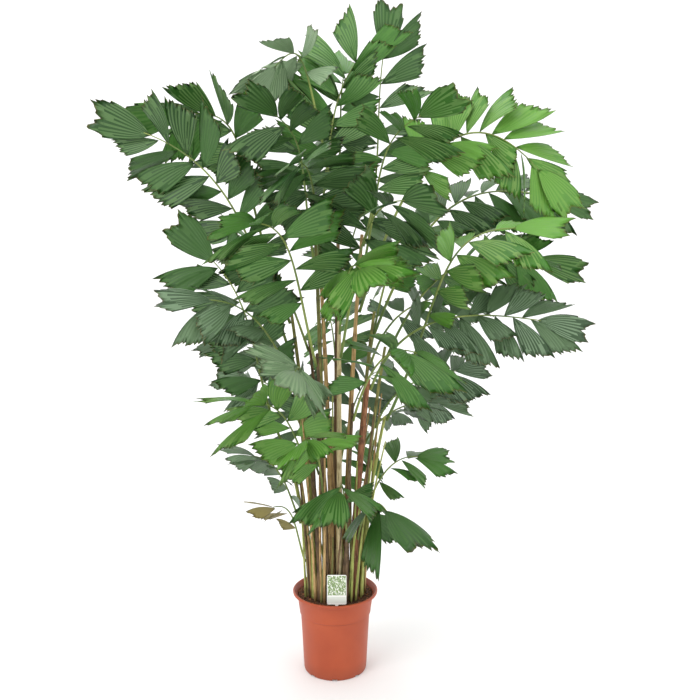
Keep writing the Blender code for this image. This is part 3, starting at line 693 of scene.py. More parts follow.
@dataclass
class BladeForm:
    """Fine form of a leaflet of length 1: rays fan from the root to a toothed edge.

    Attributes:
        edge: Corners of the outer edge, from the lower side to the upper.
        low: Pull of the lower side's curve.
        high: Pull of the upper side's curve.
        mirrored: Whether it is turned over its length.
        rays: Steps across.
        steps: Steps along.
        face_lift: Lift of both faces inside the rim.
        tooth: Depth of the deepest tooth.
        alternate: Share of a tooth's depth that every other ray has.
        pleat: Height of the pleats.
        pleat_pace: How fast the pleats rise from the root.
        pleat_end: Share of their wave at which they stop.
    """

    edge: tuple[tuple[float, float], ...]
    low: tuple[float, float]
    high: tuple[float, float]
    mirrored: bool = False
    rays: int = 18
    steps: int = 8
    face_lift: float = 0.0018
    tooth: float = 0.125
    alternate: float = 0.25
    pleat: float = 0.0022
    pleat_pace: float = 1.2
    pleat_end: float = 0.95

    def edge_point(self, share: float) -> np.ndarray:
        """Point of the outer edge.

        Args:
            share: Share of the edge's length.

        Returns:
            The point.
        """
        corners = np.array(self.edge)
        lengths = np.linalg.norm(np.diff(corners, axis=0), axis=1)
        walked = np.concatenate(([0.0], np.cumsum(lengths))) / lengths.sum()
        return np.array([np.interp(share, walked, corners[:, axis]) for axis in (0, 1)])

    def build(self, chance: random.Random) -> tuple[np.ndarray, list, np.ndarray, list]:
        """Build the form.

        Args:
            chance: Source of the teeth.

        Returns:
            Points, faces, UV places of the points and the material index of each face.
        """
        teeth = [1 - self.tooth * (self.alternate * (ray % 2) + (1 - self.alternate) * chance.random())
                 for ray in range(self.rays + 1)]
        teeth[0] = 1.0
        teeth[-1] = 1.0
        points = []
        places = []
        index = {}

        def vertex(layer: int, ray: int, step: int) -> int:
            """Find a point, which is made when first asked for.

            Args:
                layer: 1 for the upper face, -1 for the underside.
                ray: Step across.
                step: Step along.

            Returns:
                Its number.
            """
            rim = step in (0, self.steps) or ray in (0, self.rays)
            key = (0, 0, 0) if step == 0 else (0 if rim else layer, ray, step)
            if key not in index:
                across = ray / self.rays
                along = step / self.steps
                end = self.edge_point(across) * teeth[ray]
                pull = np.array(self.low) * (1 - across) + np.array(self.high) * across
                flat = pull * (2 * along * (1 - along)) + end * along ** 2
                wave = math.sin(math.pi * min(along * self.pleat_pace, self.pleat_end))
                height = self.pleat * (1 if ray % 2 else -1) * wave
                # Both faces get the same lift, so inside the rim they lie on each other.
                lift = 0.0 if rim else self.face_lift
                side = -1 if self.mirrored else 1
                index[key] = len(points)
                points.append((flat[0], flat[1] * side, height + lift))
                places.append((across, along))
            return index[key]

        faces = []
        kinds = []
        for layer in (1, -1):
            for ray in range(self.rays):
                for step in range(self.steps):
                    ring = [vertex(layer, ray, step), vertex(layer, ray, step + 1),
                            vertex(layer, ray + 1, step + 1), vertex(layer, ray + 1, step)]
                    if step == 0:
                        ring.pop()
                    if (layer == -1) != self.mirrored:
                        ring.reverse()
                    faces.append(ring)
                    kinds.append(0 if layer == 1 else 1)
        return np.array(points), faces, np.array(places), kinds


class Axis:
    """A rib as the solids have it: a chain of points, with the level direction across it."""

    def __init__(self, frond: Frond, bearing: float) -> None:
        """Work out the rib's run.

        Args:
            frond: The frond.
            bearing: Where it points, in degrees.
        """
        stem = STEMS[frond.stem]
        turned = math.radians(bearing)
        self.outward = Vector((math.cos(turned), math.sin(turned), 0))
        self.across = self.outward.cross(UP)
        self.foot = RIB_FOOT_RADIUS + RIB_FOOT_GROWTH * min(1.0, frond.reach + frond.tip - frond.height)
        along = stem.point(frond.height) - stem.point(frond.height - LEAN_STEP)
        lean = math.atan2(along.dot(self.outward), along.z)
        offset = stem.radius(frond.height) / math.cos(lean) + CLEAR + self.foot / 2
        start = stem.point(frond.height) + self.outward * offset
        end = start + self.outward * frond.reach
        end.z = frond.tip
        chord = (end - start).length
        lean += RIB_START_LEAN
        first = start + (self.outward * math.sin(lean) + UP * math.cos(lean)) * chord * frond.rise
        slope = math.radians(frond.slope)
        second = end - (self.outward * math.cos(slope) + UP * math.sin(slope)) * chord * TIP_HANDLE
        self.handles = (start, first, second, end)
        self.places = leaflet_shares(frond)
        half = (self.places[1] - self.places[0]) / 2
        foot = [(self.places[0] - half) * i / RIB_FOOT_STEPS for i in range(RIB_FOOT_STEPS + 1)]
        self.shares = foot + [place + half for place in self.places[1:-2:2]] + [1.0]
        self.points = [self.curve(share) for share in self.shares]

    def curve(self, share: float) -> Vector:
        """Point of the smooth rib.

        Args:
            share: Share of the curve.

        Returns:
            The point.
        """
        start, first, second, end = self.handles
        rest = 1 - share
        return (start * rest ** 3 + first * (3 * rest ** 2 * share)
                + second * (3 * rest * share ** 2) + end * share ** 3)

    def at(self, share: float) -> tuple[Vector, Vector]:
        """Find a place on the chain.

        Args:
            share: Share of the curve.

        Returns:
            The point and the chain's direction there.
        """
        index = max(i for i, knot in enumerate(self.shares[:-1]) if knot <= share)
        before, after = self.points[index], self.points[index + 1]
        part = (share - self.shares[index]) / (self.shares[index + 1] - self.shares[index])
        return before.lerp(after, part), (after - before).normalized()


def leaflet_shares(frond: Frond) -> list[float]:
    """Curve shares of a frond's side leaflets."""
    steps = frond.count - 2
    return [frond.bare + (LAST_LEAFLET - frond.bare) * index / steps for index in range(steps + 1)]


@dataclass(frozen=True)
class Leaf:
    """One leaflet of the plan.

    Attributes:
        share: Share of the rib's curve at which it sits.
        side: 1 or -1 for the rib's sides, 0 for the end.
        spread: Angle from the rib, in degrees.
        droop: How far it hangs.
        roll: Turn about its own length, in degrees.
        length: Its length.
        shape: 1 or -1 for a side leaflet and its mirror image, 0 for an end leaflet.
    """

    share: float
    side: int
    spread: float
    droop: float
    roll: float
    length: float
    shape: int

    def place(self, axis: Axis, turn: float, change: tuple) -> Matrix:
        """Place of the leaflet.

        Args:
            axis: The rib.
            turn: Turn of the leaflets' plane about the rib, in degrees.
            change: Change of spread, droop and roll, and share of the length.

        Returns:
            Its matrix, for a leaflet of length 1.
        """
        root, along = axis.at(self.share)
        level = axis.across
        upper = level.cross(along).normalized()
        turned = Matrix.Rotation(math.radians(turn), 3, along)
        level = turned @ level
        upper = turned @ upper
        spread = math.radians(self.spread + change[0]) * self.side
        way = along * math.cos(spread) + level * math.sin(spread)
        way = (way - UP * (self.droop + change[1])).normalized()
        face = (upper - way * upper.dot(way)).normalized()
        face = Matrix.Rotation(math.radians(self.roll + change[2]), 3, way) @ face
        across = face.cross(way)
        turned_place = Matrix((way, across, face)).transposed().to_4x4()
        return Matrix.Translation(root) @ turned_place @ Matrix.Scale(self.length * change[3], 4)


def leaf_plan(frond: Frond, seed: int) -> list[Leaf]:
    """Leaflets of a frond, as the solids draw them.

    Args:
        frond: The frond.
        seed: Its number.

    Returns:
        The side leaflets from the foot up, then the end leaflet.
    """
    chance = random.Random(seed)
    plan = []
    places = leaflet_shares(frond)
    for index, share in enumerate(places):
        along = index / (len(places) - 1)
        side = 1 if (index + seed) % 2 else -1
        spread = SPREAD_FOOT - SPREAD_FALL * along + chance.uniform(-SPREAD_PLAY, SPREAD_PLAY)
        droop = frond.droop + chance.uniform(*DROOP_PLAY)
        roll = chance.uniform(-ROLL_PLAY, ROLL_PLAY)
        swell = LENGTH_FOOT + LENGTH_SWELL * along * (LENGTH_PEAK - along)
        length = frond.leaf * swell * chance.uniform(*LENGTH_PLAY)
        shape = side if chance.random() < OWN_SIDE_CHANCE else -side
        plan.append(Leaf(share, side, spread, droop, roll, length, shape))
    roll = chance.uniform(-END_ROLL_PLAY, END_ROLL_PLAY)
    plan.append(Leaf(END_LEAFLET, 0, 0, frond.droop * END_DROOP, roll, frond.leaf * END_LENGTH, 0))
    return plan


class Corners:
    """Corners of a solid, to find what was built."""

    def __init__(self, node: str) -> None:
        """Read the corners.

        Args:
            node: The solid's node.
        """
        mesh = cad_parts[node].data
        self.tree = KDTree(len(mesh.vertices))
        for index, vertex in enumerate(mesh.vertices):
            self.tree.insert(vertex.co, index)
        self.tree.balance()

    def miss(self, point: Vector) -> float:
        """Distance from a point to the nearest corner."""
        return self.tree.find(point)[2]

    def ring_miss(self, centre: Vector, radius: float) -> float:
        """How far off centre a ring of corners is.

        Args:
            centre: Where its centre should be.
            radius: Its radius.

        Returns:
            Distance between the two centres, endless where there is no ring.
        """
        near = [corner for corner, _, _ in self.tree.find_range(centre, radius + FOUND)]
        if len(near) < 3:
            return math.inf
        middle = sum((Vector(corner) for corner in near), Vector()) / len(near)
        return (middle - centre).length


@dataclass
class Foliage:
    """All leaflets and ribs, each within the reach of the solids it stands for.

    Attributes:
        arch_low: Lowest arch of a leaflet of length 1.
        arch_high: Highest arch.
        ripple: Height of the ripple along the toothed edge.
        ripple_turn: Turn of that ripple from side to side.
        ripple_shift: Largest shift of it from leaflet to leaflet.
        variants: Variants of each leaflet form.
        form_seed: Seed of the variants.
        bend_seed: Seed of the shades and arches.
        rib_steps: Steps along a rib.
        rib_roundness: Curve steps round a quarter of a rib.
        rib_foot: Share of the solid rib's radius at the foot.
        rib_tip: The same at the tip.
        groups: Frond nodes and leaflets of each tone.
    """

    arch_low: float = 0.015
    arch_high: float = 0.055
    ripple: float = 0.010
    ripple_turn: float = 15.0
    ripple_shift: float = 6.0
    variants: int = 4
    form_seed: int = 31
    bend_seed: int = 77
    rib_steps: int = 30
    rib_roundness: int = 2
    rib_foot: float = 0.80
    rib_tip: float = 0.55
    groups: dict = field(default_factory=dict)

    def __post_init__(self) -> None:
        """Build a few variants of each leaflet form."""
        side = ((0.65, -0.24), (0.80, -0.13), (0.87, -0.03), (1.0, 0.17))
        end = ((0.62, -0.27), (0.92, -0.22), (0.79, 0.0), (1.0, 0.20), (0.66, 0.275))
        forms = {
            1: BladeForm(side, (0.28, -0.17), (0.50, 0.27)),
            -1: BladeForm(side, (0.28, -0.17), (0.50, 0.27), mirrored=True),
            0: BladeForm(end, (0.24, -0.22), (0.24, 0.22), rays=20),
        }
        chance = random.Random(self.form_seed)
        self.forms = {kind: [form.build(chance) for _ in range(self.variants)]
                      for kind, form in forms.items()}

    def find_axis(self, frond: Frond, corners: Corners) -> Axis:
        """Find the bearing that the solids were built on."""
        axes = [Axis(frond, frond.bearing + turn) for turn in BEARING_TRIES]
        return min(axes, key=lambda axis: corners.ring_miss(axis.points[0], axis.foot))

    def find_leaves(self, frond: Frond, seed: int, axis: Axis, corners: Corners) -> list:
        """Find the place of each leaflet that the solids have.

        Args:
            frond: The frond.
            seed: Its number.
            axis: Its rib.
            corners: Corners of its solid.

        Returns:
            Matrix and shape of each leaflet.
        """
        found = []
        for leaf in leaf_plan(frond, seed):
            tail_x, tail_y = TAIL_CORNERS[leaf.shape]
            for change in BLADE_TRIES:
                matrix = leaf.place(axis, frond.turn, change)
                tails = [matrix @ Vector((tail_x, tail_y, BLADE_THICKNESS / 2 * way)) for way in (1, -1)]
                if max(corners.miss(tail) for tail in tails) < FOUND:
                    found.append((matrix, leaf.shape))
                    break
        return found

    def build(self) -> None:
        """Build the leaflets by tone and one piece of ribs."""
        missing = 0
        chance = random.Random(self.bend_seed)
        ribs = []
        for seed, frond in enumerate(FRONDS):
            corners = Corners(frond.name)
            axis = self.find_axis(frond, corners)
            leaves = self.find_leaves(frond, seed, axis, corners)
            missing += frond.count - len(leaves)
            ribs.append(axis)
            group = self.groups.setdefault(frond.tone, {"nodes": [], "leaves": []})
            group["nodes"].append(frond.name)
            group["leaves"].extend((matrix, shape, chance.random(), chance.random(),
                                    chance.randrange(self.variants)) for matrix, shape in leaves)
        LOG.info("leaflets left out, as in the solids: %d", missing)
        for tone, group in self.groups.items():
            self.build_tone(tone, group)
        self.build_ribs(ribs)

    def build_tone(self, tone: Tone, group: dict) -> None:
        """Join the leaflets of one tone into a piece.

        Args:
            tone: The tone.
            group: The frond nodes and the leaflets' places.
        """
        points, faces, places, kinds, shades = [], [], [], [], []
        count = 0
        for matrix, shape, shade, bend, variant in group["leaves"]:
            unit, unit_faces, unit_places, unit_kinds = self.forms[shape][variant]
            bent = unit.copy()
            along = unit_places[:, 1]
            across = unit_places[:, 0]
            arch = self.arch_low + (self.arch_high - self.arch_low) * bend
            bent[:, 2] += arch * 4 * along * (1 - along)
            shift = bend * self.ripple_shift
            bent[:, 2] += self.ripple * np.sin(across * self.ripple_turn + shift) * along ** 2
            turned = np.array(matrix.to_3x3())
            points.append(bent @ turned.T + np.array(matrix.translation))
            faces.extend([corner + count for corner in face] for face in unit_faces)
            places.append(unit_places)
            kinds.extend(unit_kinds)
            shades.append(np.full(len(unit), shade))
            count += len(unit)
        mesh = bpy.data.meshes.new(f"leaves_{tone.name.lower()}")
        mesh.from_pydata(np.concatenate(points).tolist(), [], faces)
        all_places = np.concatenate(places)
        corners = np.empty(len(mesh.loops), dtype=np.int32)
        mesh.loops.foreach_get("vertex_index", corners)
        mesh.uv_layers.new(name="veins").data.foreach_set("uv", all_places[corners].ravel())
        shade_attribute = mesh.attributes.new("shade", "FLOAT", "POINT")
        shade_attribute.data.foreach_set("value", np.concatenate(shades))
        blade = LeafBlade(tone)
        piece = as_object(mesh.name, mesh, [blade.material(False), blade.material(True)])
        mesh.polygons.foreach_set("material_index", kinds)
        dress(piece, group["nodes"])

    def build_ribs(self, ribs: list[Axis]) -> None:
        """Build every rib as one round tapering tube on its smooth curve.

        Args:
            ribs: The ribs' runs.
        """
        curve = tube_curve("ribs", self.rib_roundness)
        for axis in ribs:
            foot = axis.foot * self.rib_foot
            spline = curve.splines.new("POLY")
            spline.points.add(self.rib_steps)
            for index, knot in enumerate(spline.points):
                share = index / self.rib_steps
                knot.co = (*axis.curve(share), 1.0)
                knot.radius = foot + (RIB_TIP_RADIUS * self.rib_tip - foot) * share
        piece = meshed_curve("ribs", curve, RibSkin().material())
        dress(piece, [frond.name for frond in FRONDS])


def tube_curve(name: str, roundness: int) -> bpy.types.Curve:
    """Start a curve that fills to closed round tubes, each as thick as its points say.

    Args:
        name: The curve's name.
        roundness: Curve steps round a quarter of a tube.

    Returns:
        The curve.
    """
    curve = bpy.data.curves.new(name, "CURVE")
    curve.dimensions = "3D"
    curve.bevel_depth = 1.0
    curve.bevel_resolution = roundness
    curve.use_fill_caps = True
    return curve


def meshed_curve(name: str, curve: bpy.types.Curve, finish: bpy.types.Material) -> bpy.types.Object:
    """Turn a curve to a closed plain mesh piece.

    Args:
        name: The piece's name.
        curve: The curve, which is removed.
        finish: The piece's material.

    Returns:
        The piece.
    """
    source = put(name + "_curve", curve)
    mesh = plain_mesh(source)
    bpy.data.objects.remove(source)
    bpy.data.curves.remove(curve)
    shape = bmesh.new()
    shape.from_mesh(mesh)
    bmesh.ops.remove_doubles(shape, verts=shape.verts, dist=MERGE)
    bmesh.ops.recalc_face_normals(shape, faces=shape.faces)
    shape.to_mesh(mesh)
    shape.free()
    mesh.name = name
    mesh.materials.clear()
    return as_object(name, mesh, [finish])


def plain_mesh(source: bpy.types.Object) -> bpy.types.Mesh:
    """Evaluate an object into a new plain mesh."""
    depsgraph = bpy.context.evaluated_depsgraph_get()
    return bpy.data.meshes.new_from_object(source.evaluated_get(depsgraph), depsgraph=depsgraph)


@dataclass
class StemClump:
    """The stems, each wrapped in overlapping dry sheaths with fluted sides.

    Attributes:
        ring_gap: Gap between a stem's rings.
        sides: Corners of a ring.
        sheath_low: Shortest sheath.
        sheath_high: Longest sheath.
        sheath_slim: Width at a sheath's foot, as a share of the solid's.
        sheath_flare: What a sheath gains to its upper edge.
        seam: Share of a ring gap by which a sheath's foot is covered.
        top_share: How far up its length the cut top sheath gets.
        flute: Depth of the flutes, as a share of the radius.
        flute_counts: Choice of the number of flutes.
        flute_twist: Turn of the flutes in a metre.
        slant: Slant of a sheath's upper edge.
    """

    ring_gap: float = 0.007
    sides: int = 18
    sheath_low: float = 0.11
    sheath_high: float = 0.20
    sheath_slim: float = 0.95
    sheath_flare: float = 0.13
    seam: float = 0.12
    top_share: float = 0.6
    flute: float = 0.05
    flute_counts: tuple[int, ...] = (5, 6, 7)
    flute_twist: float = 3.0
    slant: float = 0.006

    def build(self) -> None:
        """Build one piece for each bark."""
        for bark in Bark:
            stems = [stem for stem in STEMS if stem.bark is bark]
            points, faces, sheaths = [], [], []
            for stem in stems:
                self.add_stem(stem, points, faces, sheaths)
            mesh = bpy.data.meshes.new(f"stems_{bark.name.lower()}")
            mesh.from_pydata(points, [], faces)
            mesh.attributes.new("sheath", "FLOAT", "POINT").data.foreach_set("value", sheaths)
            piece = as_object(mesh.name, mesh, [StemBark(bark).material()])
            dress(piece, [stem.name for stem in stems])

    def add_stem(self, stem: Stem, points: list, faces: list, sheaths: list) -> None:
        """Add one stem's skin.

        Args:
            stem: The stem.
            points: Gets the points.
            faces: Gets the faces.
            sheaths: Gets each point's share of the way up its sheath.
        """
        chance = random.Random(STEMS.index(stem))
        heights, shares = self.rings(stem, chance)
        phase = chance.uniform(0, math.tau)
        flutes = chance.choice(self.flute_counts)
        first = len(points)
        for height, share in zip(heights, shares):
            centre = stem.point(height)
            wide = stem.radius(height) * (self.sheath_slim + self.sheath_flare * share ** 3)
            turn = phase + height * self.flute_twist
            for side in range(self.sides):
                angle = math.tau * side / self.sides
                out = wide * (1 + self.flute * math.cos(flutes * angle + turn))
                slant = self.slant * math.cos(angle + phase) * share ** 2 * (height > heights[0])
                points.append((centre.x + out * math.cos(angle), centre.y + out * math.sin(angle),
                               height - abs(slant)))
                sheaths.append(share)
        for ring in range(len(heights) - 1):
            for side in range(self.sides):
                low = first + ring * self.sides
                after = (side + 1) % self.sides
                faces.append((low + side, low + after, low + self.sides + after, low + self.sides + side))
        faces.append(tuple(first + side for side in reversed(range(self.sides))))
        last = first + (len(heights) - 1) * self.sides
        faces.append(tuple(last + side for side in range(self.sides)))

    def rings(self, stem: Stem, chance: random.Random) -> tuple[list[float], list[float]]:
        """Heights of a stem's rings, and how far up its sheath each one is.

        Args:
            stem: The stem.
            chance: Source of the sheaths' lengths.

        Returns:
            Heights and shares.
        """
        foot = SOIL_TOP + CLEAR
        heights, shares = [], []
        start = foot
        while start < stem.top_z:
            length = chance.uniform(self.sheath_low, self.sheath_high)
            end = min(start + length, stem.top_z)
            steps = max(2, round((end - start) / self.ring_gap))
            for step in range(steps):
                heights.append(start + (end - start) * (step + self.seam) / steps)
                shares.append(step / (steps - 1) * (1.0 if end < stem.top_z else self.top_share))
            start = end
        heights[0] = foot
        return heights, shares


@dataclass
class OldStalks:
    """Thin old leaf stalks that stand close to the stems and fill up the foot of the clump.

    Attributes:
        per_stem: Stalks at each stem.
        barks: Choice of their barks.
        steps: Steps along a stalk.
        roundness: Curve steps round a quarter of a stalk.
        foot_radius: Radius at the foot.
        top_radius: Radius at the top.
        lowest: Lowest top.
        highest: Highest top.
        gap: Least and greatest gap to the stem, in foot radii.
        drift: Least and greatest gap gained on the way up.
        sunk: How deep a foot stands in the soil.
        reach: Greatest distance of a foot from the pot's middle.
        seed: Seed of their places.
    """

    per_stem: int = 3
    barks: tuple[Bark, ...] = (Bark.TAN, Bark.OLIVE, Bark.YELLOW_GREEN, Bark.DARK_BROWN)
    steps: int = 12
    roundness: int = 2
    foot_radius: float = 0.0042
    top_radius: float = 0.0022
    lowest: float = 0.42
    highest: float = 0.86
    gap: tuple[float, float] = (0.9, 1.9)
    drift: tuple[float, float] = (0.004, 0.020)
    sunk: float = 0.003
    reach: float = 0.102
    seed: int = 19

    def build(self) -> None:
        """Build one piece of stalks for each bark that has some."""
        chance = random.Random(self.seed)
        curves = {}
        for stem in STEMS:
            for _ in range(self.per_stem):
                bark = chance.choice(self.barks)
                if bark not in curves:
                    curves[bark] = tube_curve("stalks", self.roundness)
                self.add_stalk(curves[bark], stem, chance)
        for bark, curve in curves.items():
            piece = meshed_curve(f"stalks_{bark.name.lower()}", curve, StemBark(bark).material())
            dress(piece, [])

    def add_stalk(self, curve: bpy.types.Curve, stem: Stem, chance: random.Random) -> None:
        """Add one stalk beside a stem.

        Args:
            curve: Gets the stalk.
            stem: The stem.
            chance: Source of its place and height.
        """
        angle = chance.uniform(0, math.tau)
        gap = stem.foot_width / 2 + self.foot_radius * chance.uniform(*self.gap)
        top = min(chance.uniform(self.lowest, self.highest), stem.top_z)
        drift = chance.uniform(*self.drift)
        spline = curve.splines.new("POLY")
        spline.points.add(self.steps)
        for index, knot in enumerate(spline.points):
            share = index / self.steps
            height = SOIL_TOP - self.sunk + (top - SOIL_TOP) * share
            centre = stem.point(max(height, SOIL_TOP))
            away = gap + drift * share
            x = centre.x + away * math.cos(angle + share)
            y = centre.y + away * math.sin(angle + share)
            if index == 0 and math.hypot(x, y) > self.reach:
                x, y = (value * self.reach / math.hypot(x, y) for value in (x, y))
            knot.co = (x, y, height, 1.0)
            knot.radius = self.foot_radius + (self.top_radius - self.foot_radius) * share


@dataclass
class Pot:
    """Moulded nursery pot with a rolled rim, a stepped collar and slots round its foot.

    Attributes:
        segments: Corners of a ring.
        slot_count: Slots round the foot.
        slot_width: Width of a slot.
        slot_height: Its height.
        slot_depth: Length of the cutting box, inwards.
        slot_proud: How far that box stands out of the pot.
        base_radius: Radius at the foot.
        lip_radius: Radius at which the rim's round lip is centred.
        lip_round: Radius of that lip.
        crease: Angle from which an edge is shaded sharp.
    """

    segments: int = 128
    slot_count: int = 8
    slot_width: float = 0.016
    slot_height: float = 0.005
    slot_depth: float = 0.024
    slot_proud: float = 0.005
    base_radius: float = 0.0955
    lip_radius: float = 0.1266
    lip_round: float = 0.0034
    crease: float = math.radians(40)

    def profile(self) -> list[tuple[float, float]]:
        """Draw the wall, from the inside floor over the rim to the underside.

        Returns:
            Radius and height of each corner.
        """
        roll = POT_HEIGHT - POT_ROLL_HEIGHT
        # Floor, wall, step, collar and the mouth under the rim.
        inside = [(0.0, 0.003), (0.088, 0.003), (0.093, 0.006), (0.1033, POT_STEP_HEIGHT - 0.004),
                  (0.1045, POT_STEP_HEIGHT + 0.003), (0.1148, roll - 0.003), (0.1205, roll + 0.003),
                  (0.1232, POT_HEIGHT - 0.0020)]
        lip = [(self.lip_radius + self.lip_round * math.cos(angle),
                POT_HEIGHT - self.lip_round + self.lip_round * math.sin(angle))
               for angle in (math.radians(150 - 15 * step) for step in range(11))]
        # Rolled rim and its underside, collar, grooved step, wall and rounded foot.
        outside = [(0.1298, roll + 0.003), (0.1292, roll + 0.0010), (0.1278, roll + 0.0002),
                   (0.1195, roll + 0.0008), (0.1176, roll - 0.0004), (0.1168, roll - 0.004),
                   (0.1128, 0.5 * (roll + POT_STEP_HEIGHT)), (0.1092, POT_STEP_HEIGHT + 0.005),
                   (0.1088, POT_STEP_HEIGHT + 0.0012), (0.1062, POT_STEP_HEIGHT + 0.0002),
                   (0.1050, POT_STEP_HEIGHT - 0.0014), (0.1055, POT_STEP_HEIGHT - 0.006),
                   (0.1010, 0.098), (0.0968, 0.020), (0.0957, 0.0065), (0.0950, 0.0030),
                   (0.0940, 0.0010), (0.0922, 0.0), (0.0, 0.0)]
        return inside + lip + outside

    def build(self) -> None:
        """Build the pot."""
        shape = bmesh.new()
        rings = []
        for radius, height in self.profile():
            ring = circle(radius, height, self.segments) if radius else [(0.0, 0.0, height)]
            rings.append([shape.verts.new(point) for point in ring])
        for low, high in zip(rings, rings[1:]):
            for side in range(self.segments):
                after = (side + 1) % self.segments
                corners = [low[side % len(low)], low[after % len(low)],
                           high[after % len(high)], high[side % len(high)]]
                shape.faces.new(list(dict.fromkeys(corners)))
        bmesh.ops.recalc_face_normals(shape, faces=shape.faces)
        shell = put("pot_shell", mesh_of("pot_shell", shape))
        cutter = self.slots()
        cut = shell.modifiers.new("slots", "BOOLEAN")
        cut.operation = "DIFFERENCE"
        cut.object = cutter
        made = plain_mesh(shell)
        bpy.data.objects.remove(shell)
        bpy.data.objects.remove(cutter)
        made.name = "nursery_pot"
        made.materials.clear()
        piece = as_object("nursery_pot", made, [PotPlastic().material()])
        made.set_sharp_from_angle(angle=self.crease)
        dress(piece, ["pot"])

    def slots(self) -> bpy.types.Object:
        """Make the boxes that cut the drainage slots round the foot.

        Returns:
            One object with all the boxes.
        """
        shape = bmesh.new()
        for index in range(self.slot_count):
            angle = math.radians(-90 + 360 / self.slot_count * index)
            middle = self.base_radius - self.slot_depth / 2 + self.slot_proud
            place = (Matrix.Translation((middle * math.cos(angle), middle * math.sin(angle), 0))
                     @ Matrix.Rotation(angle, 4, "Z")
                     @ Matrix.Diagonal((self.slot_depth, self.slot_width, self.slot_height * 2, 1)))
            bmesh.ops.create_cube(shape, size=1, matrix=place)
        return put("slot_boxes", mesh_of("slot_boxes", shape))


